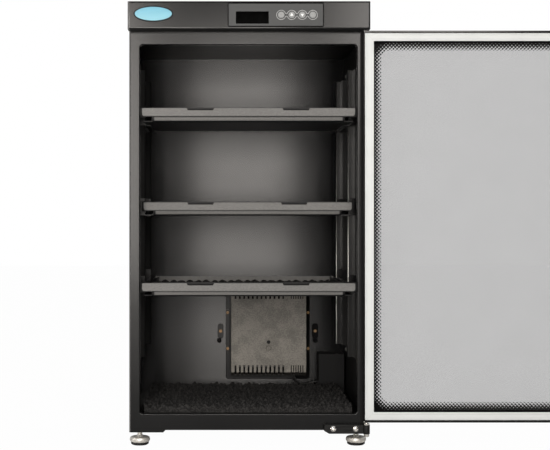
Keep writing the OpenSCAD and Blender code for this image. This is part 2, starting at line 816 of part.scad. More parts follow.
// One air slot through the face and round the slanted edge, low and high
module air_slot(x, w) {
    for (z = [[unit_z0 - 1, unit_face_z0 + 13], [unit_face_z1 - 13, unit_z1 + 1]])
        block(x - w / 2, x + w / 2, unit_y - 1, unit_y + 10, z[0], z[1]);
}

module unit_housing() {
    color([0.43, 0.42, 0.38]) difference() {
        union() {
            difference() {
                unit_solid(0);
                unit_solid(unit_wall);
            }
            // seat of the shutter's spring
            block(97.6, 99.6, unit_y + 2, unit_y + 26, 202, 216);
            // collar round the screw hole
            rod_y(47, 130.5, 5.2, unit_y - 0.7, unit_y + 1);
        }
        for (i = [0 : vent_count - 1]) air_slot(vent_x0 + i * vent_pitch, vent_w);
        for (i = [0 : fine_count - 1]) air_slot(fine_x0 + i * fine_pitch, 1.8);
        // screw hole in the middle of the face
        rod_y(47, 130.5, 2.6, unit_y - 1, unit_y + 4);
        rod_y(47, 130.5, 4.3, unit_y - 1, unit_y + 0.4);
        // exit of the lead
        rod_z(98, lead_y, lead_r + 0.6, unit_z0 - 1, unit_z0 + unit_wall + 1);
    }
}

module unit_mount_plate() {
    x0 = -33.5;
    x1 = 128;
    z0 = 66.8;
    z1 = 254.8;
    w = x1 - x0;
    rim = 1.2;
    flange_y = unit_back - 5;
    color([0.12, 0.12, 0.12]) {
        difference() {
            union() {
                translate([(x0 + x1) / 2, 0, (z0 + z1) / 2]) upright_plate(unit_back - 3, back_wall_y) rounded(w, z1 - z0, 5);
                // screw flanges beside the housing
                for (x = [-30, 124.5]) translate([x, 0, 160]) upright_plate(flange_y, unit_back) rounded(6.6, 82, 3.2);
            }
            // sunk middle behind the housing
            translate([(x0 + x1) / 2, 0, (z0 + z1) / 2]) difference() {
                upright_plate(unit_back - 4, unit_back) rounded(w - 2 * rim, z1 - z0 - 2 * rim, 4);
                for (x = [-30, 124.5]) translate([x - (x0 + x1) / 2, 0, 160 - (z0 + z1) / 2])
                    upright_plate(flange_y - 1, unit_back + 1) rounded(6.6, 82, 3.2);
            }
            // rear air window
            block(-19, 79, unit_back - 6, back_wall_y + 1, 194, 224);
            for (x = [-30, 124.5], z = [125.7, 194.7]) rod_y(x, z, 1.6, flange_y - 1, back_wall_y + 1);
        }
    }
}

// Ear clamps that hold the plate to the back wall, each with a thumb nut
module unit_clamps() {
    color([0.2, 0.2, 0.2]) {
        for (x = [-43.5, 138.5]) translate([x, 0, 159]) difference() {
            upright_plate(back_wall_y - 4.5, back_wall_y) rounded(11.5, 29, 5.5);
            rod_y(0, 0, 1.6, back_wall_y - 6, back_wall_y + 1);
        }
        for (x = [-46, 138.5]) {
            rod_y(x, 141.5, 2, back_wall_y - 9, back_wall_y);
            translate([x, back_wall_y - 10, 141.5]) sphere(r = 4.4);
        }
    }
}

module brass_screw(x, z, seat, depth) {
    color([0.75, 0.6, 0.35]) union() {
        rod_y(x, z, 2.7, seat - 1.8, seat);
        rod_y(x, z, 1.55, seat, seat + depth);
    }
}

module unit_screws() {
    for (x = [-30, 124.5], z = [125.7, 194.7]) brass_screw(x, z, unit_back - 5, 5);
    for (x = [-43.5, 138.5]) brass_screw(x, 159, back_wall_y - 4.5, 4);
}

module desiccant_cassette() {
    color([0.7, 0.7, 0.68]) difference() {
        block(-16, 80, unit_y + 14, unit_y + 34, 108, 190);
        block(-14.5, 78.5, unit_y + 15.5, unit_y + 32.5, 109.5, 188.5);
        for (i = [0 : 10], k = [0 : 3])
            block(-12 + i * 8.2, -8.6 + i * 8.2, unit_y + 13, unit_y + 35, 114 + k * 18, 126 + k * 18);
    }
}

module heater_plate() {
    color([0.8, 0.8, 0.8]) union() {
        block(-14, 78, unit_y + 22, unit_y + 24.5, 92, 106);
        for (i = [0 : 8]) block(-12 + i * 11, -10.5 + i * 11, unit_y + 16, unit_y + 31, 93, 105);
    }
}

// Sliding louvres: one plate behind the face slots, one in front of the rear slots, and the
// bridge that joins them, so that one side shuts as the other opens
module shutter_carriage() {
    in_y = unit_y + 3.4;
    out_y = back_wall_y - 3;
    x0 = vent_x0 - 4.9;
    x1 = x0 + vent_count * vent_pitch + 1.6;
    color([0.75, 0.75, 0.72]) difference() {
        union() {
            block(x0, x1, in_y, in_y + 1.2, 220, 236);
            block(x0, x1, in_y, in_y + 1.2, 86, 102);
            block(x1, x1 + 4, in_y, in_y + 1.2, 86, 236);
            block(x1, x1 + 4, in_y + 1.2, out_y + 1.2, 206, 212);
            block(x0, x1 + 4, out_y, out_y + 1.2, 195, 223);
        }
        for (i = [0 : vent_count - 1]) {
            x = vent_x0 + i * vent_pitch;
            block(x - vent_w / 2, x + vent_w / 2, in_y - 1, in_y + 2, 86.5, 98.5);
            block(x - vent_w / 2, x + vent_w / 2, in_y - 1, in_y + 2, 222.5, 234);
            rear_x = x - vent_pitch / 2;
            if (i > 0)
                block(rear_x - vent_w / 2, rear_x + vent_w / 2, out_y - 1, out_y + 2, 197, 221);
        }
    }
}

module shutter_spring() {
    turns = 7;
    wire = 0.6;
    spring_x = 84.6;
    color([0.6, 0.6, 0.6]) for (i = [0 : turns - 1])
        translate([spring_x + i * 2, unit_y + 20, 209]) rotate([0, 90, 0])
            rotate_extrude($fn = 24) translate([4, 0]) circle(wire, $fn = 16);
}

module rear_vent_cover() {
    y0 = back_y - sheet;
    y1 = back_y + 9;
    color([0.12, 0.12, 0.12]) difference() {
        translate([unit_x - 15, 0, 200]) upright_plate(back_y, y1) rounded(170, 120, 6);
        translate([unit_x - 15, 0, 200]) upright_plate(y0, y1 - sheet) rounded(170 - 2 * sheet, 120 - 2 * sheet, 5);
        for (i = [0 : 13], z = [158, 226])
            block(-40 + i * 10, -36 + i * 10, y1 - 3, y1 + 1, z - 12, z + 12);
    }
}

// ---------- power box, inlet and lead ----------

module power_box() {
    y0 = unit_y;
    y1 = back_wall_y;
    wall = 2;
    color([0.05, 0.05, 0.05]) {
        difference() {
            union() {
                block(box_x0, box_x1, y0, y1, floor_z, box_top);
                // lead gland
                translate([box_x0 - 4, lead_y, 64]) rotate([0, 90, 0]) cylinder(r = 5, h = 4);
            }
            block(box_x0 + wall, box_x1 - wall, y0 + wall, y1 + 1, floor_z + wall, box_top - wall);
        }
        // fixing screw on a lug at the upper right
        translate([176, y0 + 8, box_top]) cylinder(r = 3, h = 1.4);
    }
}

module power_inlet() {
    color([0.07, 0.07, 0.07]) difference() {
        union() {
            block(146, 186, back_wall_y + sheet, back_wall_y + sheet + 2.4, 70.5, 93.5);
            block(152.2, 179.8, back_wall_y - 18, back_wall_y + sheet, 72.2, 91.8);
        }
        block(154.2, 177.8, back_wall_y - 15, back_wall_y + 5, 74.2, 89.8);
        for (x = [149.2, 182.8]) rod_y(x, 82, 1.6, back_wall_y, back_wall_y + 5);
    }
    color([0.8, 0.7, 0.4]) for (x = [159, 166, 173], z = [x == 166 ? 85 : 80])
        block(x - 1, x + 1, back_wall_y - 15, back_wall_y - 2, z - 2, z + 2);
}

function cross3(a, b) = cross(a, b);
function unit3(v) = v / norm(v);

// Round tube with 8 sides swept along points in the X-Z plane at lead_y
module swept_tube(route, r) {
    sides = 8;
    count = len(route);
    pts = [for (p = route) [p[0], lead_y, p[1]]];
    tangents = [for (i = [0 : count - 1]) unit3(pts[min(i + 1, count - 1)] - pts[max(i - 1, 0)])];
    rings = [for (i = [0 : count - 1]) let (n = [0, 1, 0], b = cross3(tangents[i], n))
        each [for (k = [0 : sides - 1]) pts[i] + r * (cos(360 * k / sides) * n + sin(360 * k / sides) * b)]];
    walls = [for (i = [0 : count - 2], k = [0 : sides - 1]) let (a = i * sides + k, c = i * sides + (k + 1) % sides)
        [a, a + sides, c + sides, c]];
    ends = [[for (k = [0 : sides - 1]) k], [for (k = [0 : sides - 1]) count * sides - 1 - k]];
    polyhedron(points = rings, faces = concat(walls, ends));
}

module unit_lead() {
    color([0.03, 0.03, 0.03]) swept_tube(lead_route, lead_r);
    color([0.03, 0.03, 0.03]) rod_z(98, lead_y, lead_r + 0.5, 73, unit_z0 + unit_wall + 2);
}

// ---------- feet ----------

module foot(x, y) {
    color([0.8, 0.78, 0.74]) translate([x, y, 0]) union() {
        rotate_extrude() polygon([
            [0, 5], [15.2, 5], [16.9, 7.6], [17, 9.4], [16.2, 12.2], [14.2, 13.4], [6.4, 13.8],
            [4.4, 16.6], [stud_r, 16.6], [stud_r, 38], [0, 38],
        ]);
        translate([0, 0, base_z - 4.6]) cylinder(r = 6.6, h = 4.5, $fn = 6);
    }
}

module foot_front_left() foot(-foot_x, -foot_y);
module foot_front_right() foot(foot_x, -foot_y);
module foot_rear_left() foot(-foot_x, foot_y);
module foot_rear_right() foot(foot_x, foot_y);

module foot_pads() {
    color([0.05, 0.05, 0.05]) for (x = [-foot_x, foot_x], y = [-foot_y, foot_y]) translate([x, y, 0])
        rotate_extrude() polygon([[0, 0], [12.6, 0], [14.8, 1.6], [15, 4.9], [0, 4.9]]);
}

cabinet_shell();
back_panel();
front_frame();
floor_pan();
ceiling_panel();
header_fascia();
badge_plate();
control_bezel();
display_window();
control_board();
button_menu();
button_up();
button_down();
button_set();
shelf_uprights();
runners_left();
runners_right();
shelf_screws();
tray_1();
front_bar_1();
end_caps_1();
foam_1();
tray_2();
front_bar_2();
end_caps_2();
foam_2();
tray_3();
front_bar_3();
end_caps_3();
foam_3();
door_frame();
door_gasket();
door_glass();
door_bushes();
lock_body();
lock_plug();
lock_cam();
door_grip();
hinge_bracket();
hinge_pins();
hinge_screws();
upper_hinge_plate();
unit_housing();
unit_mount_plate();
unit_clamps();
unit_screws();
desiccant_cassette();
heater_plate();
shutter_carriage();
shutter_spring();
rear_vent_cover();
unit_lead();
power_box();
power_inlet();
floor_foam();
foot_front_left();
foot_front_right();
foot_rear_left();
foot_rear_right();
foot_pads();
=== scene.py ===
"""Dresses a desiccator cabinet: painted steel, glass door, moulded dry unit and foam pads.

The packed model is the fixed frame. Every operator below finishes one group of its parts, or
adds the soft and small pieces that sit on them.
"""
import math

import bmesh
import bpy
from mathutils import Matrix, Vector


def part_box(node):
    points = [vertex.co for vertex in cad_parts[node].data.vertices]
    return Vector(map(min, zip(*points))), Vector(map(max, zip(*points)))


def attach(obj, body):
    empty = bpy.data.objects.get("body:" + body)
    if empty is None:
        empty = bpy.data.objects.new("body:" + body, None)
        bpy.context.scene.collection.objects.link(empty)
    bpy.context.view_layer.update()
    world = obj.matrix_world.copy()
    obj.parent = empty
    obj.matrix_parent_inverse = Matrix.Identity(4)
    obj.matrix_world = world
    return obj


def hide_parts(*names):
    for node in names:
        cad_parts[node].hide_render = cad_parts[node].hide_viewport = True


bl_info = {
    "name": "Dry Cabinet",
    "version": (1, 0, 0),
    "blender": (4, 5, 0),
    "location": "3D View > Sidebar > Dry Cabinet",
    "description": "Finishes for a desiccator cabinet and the soft and small pieces on it",
    "category": "Object",
}

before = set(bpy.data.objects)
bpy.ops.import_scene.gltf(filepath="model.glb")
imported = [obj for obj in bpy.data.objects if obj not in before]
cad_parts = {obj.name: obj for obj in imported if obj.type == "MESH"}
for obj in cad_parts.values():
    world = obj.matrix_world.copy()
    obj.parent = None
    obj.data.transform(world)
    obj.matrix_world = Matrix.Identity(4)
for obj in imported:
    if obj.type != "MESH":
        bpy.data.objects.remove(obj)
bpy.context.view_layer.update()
MM = 0.001

# ---------- sizes and colours ----------

# The powder coat's specular level, and the colours that only one finish or the lamps use
COAT_LEVEL = 0.3
# Lighter grey painted as a highlight on the carcass's rounded left edge
HIGHLIGHT_GREY = (0.13, 0.13, 0.13)
PRINT_BLACK = (0.004, 0.004, 0.004)
TUCKED_SHADE = (0.01, 0.01, 0.01)
BADGE_RIM = (0.012, 0.012, 0.013)
BADGE_BLUES = (0.13, 0.41, 0.55), (0.28, 0.57, 0.66)
WINDOW_BLACKS = (0.0, 0.0, 0.0), (0.0006, 0.0006, 0.0006)
PIN_BRASS = (0.62, 0.50, 0.26)
LAMP_WARMTH = (1.0, 0.95, 0.9)


def colour_property(name, description, rgb):
    return bpy.props.FloatVectorProperty(
        name=name, description=description, subtype="COLOR", size=3, min=0, max=1, default=rgb)


def length_property(name, description, metres):
    return bpy.props.FloatProperty(
        name=name, description=description, subtype="DISTANCE", unit="LENGTH", min=0, default=metres)


def share_property(name, description, share):
    return bpy.props.FloatProperty(
        name=name, description=description, subtype="FACTOR", min=0, max=1, default=share)


class SteelSettings(bpy.types.PropertyGroup):
    """Colours and gloss of the painted sheet steel"""

    body: colour_property("Body", "Powder coat of the carcass and door", (0.0035, 0.0035, 0.0035))
    inner: colour_property("Inside", "Powder coat of the chamber", (0.003, 0.003, 0.0033))
    # The dark painted as shade on the trays' undersides and sides, and behind and under the front bars'
    # faces
    tray: colour_property("Trays", "Enamel of the trays", (0.004, 0.004, 0.0045))
    bar: colour_property("Front bars", "Grained enamel of the front bars", (0.150, 0.148, 0.143))
    gloss: share_property("Roughness", "Roughness of the powder coat", 0.2)
    inner_gloss: share_property("Inner Roughness", "Roughness of the chamber's paint", 0.22)
    grain: length_property("Grain", "Size of the powder coat's grain", 0.9 * MM)
    # How far the uprights' band of painted highlight lies from the middle
    hem: length_property("Hem", "Distance of the uprights' worn edge from the middle", 178.9 * MM)


class FoamSettings(bpy.types.PropertyGroup):
    """Shape and colour of the convoluted foam"""

    colour: colour_property("Colour", "Charcoal of the foam", (0.011, 0.0108, 0.0108))
    speck: colour_property("Cells", "Lighter cell walls on a cut face", (0.038, 0.037, 0.036))
    pitch: length_property("Pitch", "Distance between two tall peaks", 30 * MM)
    step: length_property("Step", "Distance between two points of the mesh", 2 * MM)
    slant: bpy.props.FloatProperty(
        name="Slant", description="Turn of the rows against the pad's edge", subtype="ANGLE",
        unit="ROTATION", default=math.radians(5))


class PanelSettings(bpy.types.PropertyGroup):
    """Marks on the control panel"""

    bezel: colour_property("Bezel", "Grey of the control panel", (0.064, 0.066, 0.067))
    mark: colour_property("Marks", "Light grey of the printed marks", (0.48, 0.49, 0.49))
    button: colour_property("Buttons", "Silver of the button caps", (0.30, 0.31, 0.31))
    rim: length_property("Rim", "Width of the panel's black rim", 1.7 * MM)
    icon: colour_property("Icons", "White of the arrows on the buttons", (0.82, 0.83, 0.83))
    ring: length_property("Ring", "Radius of the line round each button", 7.5 * MM)
    waist: length_property("Waist", "Half height of the line between two buttons", 1.9 * MM)
    line: length_property("Line", "Radius of the raised line", 0.5 * MM)


class DoorSettings(bpy.types.PropertyGroup):
    """Glass, its dotted border and the gasket"""

    glass: colour_property("Glass", "Tint of the glass", (0.22, 0.225, 0.23))
    veil: share_property("Veil", "How much the glass hides of what is behind it", 0.36)
    gasket: colour_property("Gasket", "White of the vinyl", (0.66, 0.685, 0.68))
    dots: length_property("Dots", "Distance between two printed dots of a row", 6.0 * MM)
    border: length_property("Border", "Width of the dotted border beyond its black edge", 15 * MM)
    corner: length_property("Corner", "Corner radius of the clear glass", 14 * MM)


class StudioSettings(bpy.types.PropertyGroup):
    """Camera and light"""

    distance: length_property("Distance", "Camera's distance from the front frame", 2.05)
    height: length_property("Height", "Camera's height", 0.4015)
    aside: bpy.props.FloatProperty(
        name="Aside", description="Camera's place across the front", unit="LENGTH", default=-0.062)
    lens: bpy.props.FloatProperty(
        name="Lens", description="Camera's focal length", unit="CAMERA", default=81.3)
    shift: bpy.props.FloatVectorProperty(
        name="Shift", description="Camera's shift across and up, in widths of the picture", size=2,
        default=(0.1164, -0.0364))
    above: share_property("Above", "Light from the ceiling", 0.6)
    behind: share_property("Behind", "Light from behind the cabinet", 0.22)
    dim: share_property("Dim", "Light from the camera's side, beside the soft boxes", 0.02)
    white: share_property("White", "How much of the floor's white hides its shadows", 0.98)


# ---------- shader graphs ----------


class Value:
    """A shader socket that takes part in Python arithmetic"""

    def __init__(self, graph, socket):
        self.graph, self.socket = graph, socket

    def __add__(self, other):
        return self.graph.math("ADD", self, other)

    def __sub__(self, other):
        return self.graph.math("SUBTRACT", self, other)

    def __rsub__(self, other):
        return self.graph.math("SUBTRACT", other, self)

    def __mul__(self, other):
        return self.graph.math("MULTIPLY", self, other)

    def __truediv__(self, other):
        return self.graph.math("DIVIDE", self, other)

    def __lt__(self, other):
        return self.graph.math("LESS_THAN", self, other)

    def __gt__(self, other):
        return self.graph.math("GREATER_THAN", self, other)

    def __abs__(self):
        return self.graph.math("ABSOLUTE", self)

    __radd__ = __add__
    __rmul__ = __mul__


class Graph:
    """The node tree of one material, or of the world, empty at first"""

    def __init__(self, name, kind="materials"):
        self.owner = getattr(bpy.data, kind).new(name)
        self.owner.use_nodes = True
        self.tree = self.owner.node_tree
        self.tree.nodes.clear()

    def add(self, kind, settings=None, inputs=None, out=0):
        """Adds a node; its settings come first, then the values or links of its sockets"""
        node = self.tree.nodes.new(kind)
        for key, value in (settings or {}).items():
            setattr(node, key, value)
        for key, value in (inputs or {}).items():
            if isinstance(value, Value):
                self.tree.links.new(value.socket, node.inputs[key])
            else:
                node.inputs[key].default_value = value
        return Value(self, node.outputs[out]) if node.outputs else None

    def math(self, operation, *values):
        return self.add("ShaderNodeMath", {"operation": operation}, dict(enumerate(values)))

    def place(self):
        """Object coordinates: the cabinet's own frame, in metres"""
        return self.add("ShaderNodeTexCoord", out="Object")

    def axes(self):
        place = self.place()
        return [self.add("ShaderNodeSeparateXYZ", inputs={0: place}, out=i) for i in range(3)]

    def noise(self, size, detail=2, stretch=(1, 1, 1)):
        """Noise whose cells are about size across, stretched along the axes"""
        place = self.add("ShaderNodeMapping", inputs={
            "Vector": self.place(), "Scale": [1 / (size * s) for s in stretch]})
        return self.add("ShaderNodeTexNoise", inputs={"Vector": place, "Scale": 1, "Detail": detail})

    def smooth(self, value, low, high):
        """0 below low, 1 above high, and a smooth step between them"""
        return self.add("ShaderNodeMapRange", {"interpolation_type": "SMOOTHSTEP"}, {
            "Value": value, "From Min": low, "From Max": high})

    def mix(self, factor, a, b):
        """Colour a where factor is 0, and b where it is 1"""
        a, b = (end if isinstance(end, Value) else (*end, 1) for end in (a, b))
        return self.add("ShaderNodeMix", {"data_type": "RGBA"}, {0: factor, 6: a, 7: b}, out=2)

    def bump(self, height, distance, strength=1.0):
        return self.add("ShaderNodeBump", inputs={
            "Height": height, "Distance": distance, "Strength": strength})

    def finish(self, sockets):
        """Ends the graph in one surface shader with these sockets"""
        if "Base Color" in sockets and not isinstance(sockets["Base Color"], Value):
            sockets["Base Color"] = (*sockets["Base Color"], 1)
        surface = self.add("ShaderNodeBsdfPrincipled", inputs=sockets)
        self.add("ShaderNodeOutputMaterial", inputs={"Surface": surface})
        return self.owner


def scaled(rgb, share):
    return tuple(min(1.0, channel * share) for channel in rgb)


# ---------- finishes ----------


def powder_coat(name, rgb, roughness, grain, level, matt=None, painted_highlight=None):
    """Satin powder coat: fine orange peel and slow changes of gloss, dull where matt(x, y, z) holds
    and grey where rubbed(x, y, z) does"""
    g = Graph(name)
    dull = matt(*g.axes()) if matt else 0
    # Lighter grey painted as a highlight where the second mask holds
    highlight_mask = painted_highlight(*g.axes()) if painted_highlight else 0
    peel = g.noise(grain)
    slow = g.noise(0.09, 3)
    coat = g.mix(slow, scaled(rgb, 0.8), scaled(rgb, 1.25))
    return g.finish({
        "Base Color": g.mix(highlight_mask, coat, HIGHLIGHT_GREY),
        "Roughness": roughness - 0.03 + 0.06 * slow + 0.6 * dull,
        "Specular IOR Level": level,
        "Normal": g.bump(peel, 0.004 * MM, 0.35),
    })


def rolled_paint(name, rgb, roughness, grain):
    """Gloss paint with level strokes, which blur what it mirrors up and down more than sideways"""
    g = Graph(name)
    strokes = g.noise(grain, 2, (90, 90, 0.6))
    slow = g.noise(0.09, 3)
    return g.finish({
        "Base Color": g.mix(slow, scaled(rgb, 0.8), scaled(rgb, 1.25)),
        "Roughness": roughness + 0.03 * slow,
        "Anisotropic": 1.0,
        "Anisotropic Rotation": 0.25,
        "Specular IOR Level": 0.5,
        "Normal": g.bump(strokes, 0.01 * MM, 1.0),
    })


def hemmed_steel(name, rgb, glint_rgb, hem_x, glint_floor_z):
    """Dark steel uprights whose worn hem shines up to hem_x from the middle, matt on the left; the
    front ones keep their paint below painted_z"""
    g = Graph(name)
    x, y, z = g.axes()
    left = x < 0.0
    # Painted highlight: bright metal in the band near hem_x, on the right uprights only
    painted_glint = 1 - g.smooth(abs(x), hem_x - 0.4 * MM, hem_x + 0.4 * MM)
    painted_glint = painted_glint * (1 - (y < 0.0) * (z < glint_floor_z))
    shine = painted_glint * (1 - left)
    fine = g.noise(0.5 * MM, 2, (1, 1, 12))
    stains = g.noise(7 * MM, 3)
    # Painted shade: the left uprights' paint is darkened
    paint = g.mix(left, rgb, scaled(rgb, 0.2))
    bright = g.mix(stains, scaled(glint_rgb, 0.7), scaled(glint_rgb, 1.1))
    return g.finish({
        "Base Color": g.mix(shine, paint, bright),
        "Metallic": shine,
        "Roughness": 0.2 + 0.1 * painted_glint + 0.08 * stains + 0.5 * left,
        "Specular IOR Level": 0.3,
        "Normal": g.bump(fine, 0.01 * MM, 0.3),
    })


def enamel(name, rgb, dark_rgb, contrast, low, high, rear_y=1.0):
    """Grained grey enamel between the corners low and high and behind rear_y, black paint elsewhere"""
    g = Graph(name)
    grain = g.noise(1.5 * MM, 3, (2.2, 1, 1))
    slow = g.noise(0.05)
    tone = g.smooth(grain * 0.8 + slow * 0.2, 0.3, 0.7)
    grey = g.mix(tone, scaled(rgb, 1 - contrast), scaled(rgb, 1 + contrast))
    x, y, z = g.axes()
    # Grey only where it is lit; elsewhere dark_rgb as painted shade
    unshaded = (y < high.y) * (1 - g.smooth(abs(x), high.x - 2.5 * MM, high.x))
    unshaded = unshaded * g.smooth(z, low.z - 0.2 * MM, low.z + 0.2 * MM) * (z < high.z)
    unshaded = g.math("MAXIMUM", unshaded, y > rear_y)
    return g.finish({
        "Base Color": g.mix(unshaded, dark_rgb, grey),
        "Roughness": 0.4 + 0.12 * grain,
        "Specular IOR Level": 0.2,
        "Normal": g.bump(grain, 0.05 * MM, 0.5),
    })


def moulded(name, rgb, roughness, grain=0.7 * MM, contrast=0.12, depth=0.03 * MM):
    """Moulded plastic with a spark-eroded grain"""
    g = Graph(name)
    fine = g.noise(grain)
    slow = g.noise(0.03)
    return g.finish({
        "Base Color": g.mix(slow, scaled(rgb, 1 - contrast), scaled(rgb, 1 + contrast)),
        "Roughness": roughness + 0.08 * fine,
        "Specular IOR Level": 0.35,
        "Normal": g.bump(fine, depth, 0.5),
    })


def plated(name, rgb, roughness, metallic=1.0):
    """Plated metal with fine turning marks and slight stains"""
    g = Graph(name)
    marks = g.noise(0.5 * MM, 2, (6, 6, 0.5))
    stains = g.noise(6 * MM, 3)
    return g.finish({
        "Base Color": g.mix(stains, scaled(rgb, 0.86), scaled(rgb, 1.06)),
        "Metallic": metallic,
        "Roughness": roughness + 0.12 * stains,
        "Normal": g.bump(marks, 0.02 * MM, 0.3),
    })


def mottled_plastic(name, rgb, shade_z):
    """Plastic of the dry unit: cloudy warm grey with fine specks, sooty below shade_z"""
    g = Graph(name)
    clouds = g.noise(26 * MM, 3)
    specks = g.noise(2.2 * MM)
    tone = g.smooth(0.5 * clouds + 0.5 * specks, 0.36, 0.64)
    # Painted shade on the slanted lower face, below shade_z
    under = 1 - g.smooth(g.axes()[2], shade_z - 1 * MM, shade_z + 1 * MM)
    grey = g.mix(tone, scaled(rgb, 0.7), scaled(rgb, 1.3))
    return g.finish({
        "Base Color": g.mix(under, grey, scaled(rgb, 0.12)),
        "Roughness": 0.42 + 0.2 * specks,
        "Specular IOR Level": 0.35,
        "Normal": g.bump(specks, 0.08 * MM, 0.4),
    })


def open_foam(name, rgb, cell_rgb):
    """Open-cell foam: light cell walls on a dark ground"""
    g = Graph(name)
    cells = g.add("ShaderNodeTexVoronoi", {"feature": "F1"}, {
        "Vector": g.place(), "Scale": 1 / (2.1 * MM)})
    patches = g.noise(7 * MM, 4)
    walls = g.smooth(cells + 0.5 * patches, 0.55, 1.0)
    return g.finish({
        "Base Color": g.mix(walls, rgb, cell_rgb),
        "Roughness": 0.92,
        "Specular IOR Level": 0.15,
        "Normal": g.bump(cells, 0.5 * MM, 0.8),
    })


def vinyl(name, rgb, box):
    """Gasket vinyl with its two long seams, the welded mitre across each corner, and dark ends where
    it is tucked into the frame"""
    g = Graph(name)
    x, _, z = g.axes()
    low, high = box
    from_side = g.math("MINIMUM", x - low.x, high.x - x)
    from_end = g.math("MINIMUM", z - low.z, high.z - z)
    lines = 1 - g.smooth(abs(from_side - from_end), 0.1 * MM, 0.45 * MM)
    inward = g.math("MINIMUM", from_side, from_end)
    for seam in (2.4 * MM, 10.8 * MM):
        lines = g.math("MAXIMUM", lines, 1 - g.smooth(abs(inward - seam), 0.1 * MM, 0.7 * MM))
    # Painted shade at the ends, where they run into the frame
    end_shade = 1 - g.smooth(from_end, 1.2 * MM, 1.5 * MM)
    dust = g.noise(0.05)
    tone = g.smooth(dust, 0.35, 0.8) * 0.15 + lines * 0.4
    white = g.mix(tone, rgb, scaled(rgb, 0.72))
    return g.finish({
        "Base Color": g.mix(end_shade, white, TUCKED_SHADE),
        "Roughness": 0.42 + 0.15 * dust + 0.4 * end_shade,
        "Specular IOR Level": 0.4,
        "Normal": g.bump(1 - lines, 0.12 * MM, 0.6),
    })


def dotted_glass(name, door, box, seal):
    """Clear glass whose black printed edge, seal wide, breaks up into rows of dots inwards"""
    g = Graph(name)
    x, _, z = g.axes()
    low, high = box
    inset = seal + door.border
    middle = (low + high) / 2
    half_x = (high.x - low.x) / 2 - inset - door.corner
    half_z = (high.z - low.z) / 2 - inset - door.corner
    over_x = g.math("MAXIMUM", abs(x - middle.x) - half_x, 0.0)
    over_z = g.math("MAXIMUM", abs(z - middle.z) - half_z, 0.0)
    outside = g.math("SQRT", over_x * over_x + over_z * over_z) - door.corner
    share = outside / door.border
    row = 2 * math.pi / door.dots
    lattice = g.math("SINE", x * row) * g.math("SINE", z * row)
    dot = g.smooth(0.8 * share + lattice * 0.5, 0.26, 0.34)
    ink = g.math("MINIMUM", dot, g.smooth(outside, 0.0, 0.4 * MM))
    smears = g.noise(0.06, 4)
    return g.finish({
        "Base Color": g.mix(ink, door.glass, PRINT_BLACK),
        "Roughness": 0.3 + 0.08 * smears,
        "Alpha": g.math("MAXIMUM", ink, door.veil + 0.03 * smears),
        "IOR": 1.22,
        "Specular IOR Level": 0.12,
    })


def badge_enamel(name, centre, half_x, half_z):
    """Blue enamel field with a slanting sheen, paler towards its lower edge, in a dark rim"""
    g = Graph(name)
    x, _, z = g.axes()
    across, up = (x - centre.x) / half_x, (z - centre.z) / half_z
    field = 1 - g.smooth(g.math("SQRT", across * across + up * up), 0.97, 1.0)
    sheen = g.math("SINE", (x + 0.6 * z) * (2 * math.pi / (2.2 * MM))) * 0.5 + 0.5
    fade = g.smooth(up, -1.0, 1.0)
    blue = g.mix(sheen * 0.25 + (1 - fade) * 0.6, *BADGE_BLUES)
    return g.finish({
        "Base Color": g.mix(field, BADGE_RIM, blue),
        "Roughness": 0.8 - 0.5 * field + 0.1 * sheen,
        "Specular IOR Level": 0.3,
    })


def silver_button(name, rgb, middles, radius):
    """Silver lacquered button caps, darker towards their rim"""
    g = Graph(name)
    x, _, z = g.axes()
    reach = None
    for middle in middles:
        across, up = x - middle.x, z - middle.z
        off = g.math("SQRT", across * across + up * up)
        reach = off if reach is None else g.math("MINIMUM", reach, off)
    rim = g.smooth(reach, 0.6 * radius, radius)
    grain = g.noise(0.35 * MM, 2, (5, 1, 1))
    return g.finish({
        "Base Color": g.mix(rim * 0.6 + grain * 0.3, rgb, scaled(rgb, 0.5)),
        "Roughness": 0.32 + 0.15 * grain,
        "Specular IOR Level": 0.3,
        "Normal": g.bump(grain, 0.02 * MM, 0.4),
    })


def framed_panel(name, rgb, box, rim):
    """Grey control panel whose rounded rim is black"""
    g = Graph(name)
    low, high = box
    x, _, z = g.axes()
    side = g.math("MINIMUM", x - low.x, high.x - x)
    end = g.math("MINIMUM", z - low.z, high.z - z)
    inward = g.math("MINIMUM", side, end)
    inside = g.smooth(inward, rim - 0.3 * MM, rim + 0.1 * MM)
    fine = g.noise(0.5 * MM)
    slow = g.noise(0.03)
    grey = g.mix(slow, scaled(rgb, 0.92), scaled(rgb, 1.08))
    return g.finish({
        "Base Color": g.mix(inside, PRINT_BLACK, grey),
        "Roughness": 0.85 - 0.45 * inside + 0.06 * fine,
        "Specular IOR Level": 0.2,
        "Normal": g.bump(fine, 0.02 * MM, 0.5),
    })


def smoked_window(name):
    """Near-black window with faint wipe marks"""
    g = Graph(name)
    wipes = g.noise(9 * MM, 3)
    return g.finish({
        "Base Color": g.mix(wipes, *WINDOW_BLACKS),
        "Roughness": 0.10 + 0.1 * wipes,
        "Specular IOR Level": 0.02,
    })


def inlet_plastic(name, rgb, pins):
    """Black inlet whose pins, between the two corners in pins, are bright metal"""
    g = Graph(name)
    inside = None
    for axis, low, high in zip(g.axes(), *pins):
        span = (axis > low) * (axis < high)
        inside = span if inside is None else inside * span
    fine = g.noise(0.7 * MM)
    return g.finish({
        "Base Color": g.mix(inside, rgb, PIN_BRASS),
        "Metallic": inside,
        "Roughness": 0.5 - 0.25 * inside + 0.08 * fine,
        "Normal": g.bump(fine, 0.03 * MM, 0.4),
    })


# ---------- modelling ----------


def dress(material, *names):
    """Gives CAD nodes a finish"""
    for name in names:
        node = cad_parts[name]
        if not node.material_slots:
            node.data.materials.append(material)
        for slot in node.material_slots:
            slot.material = material


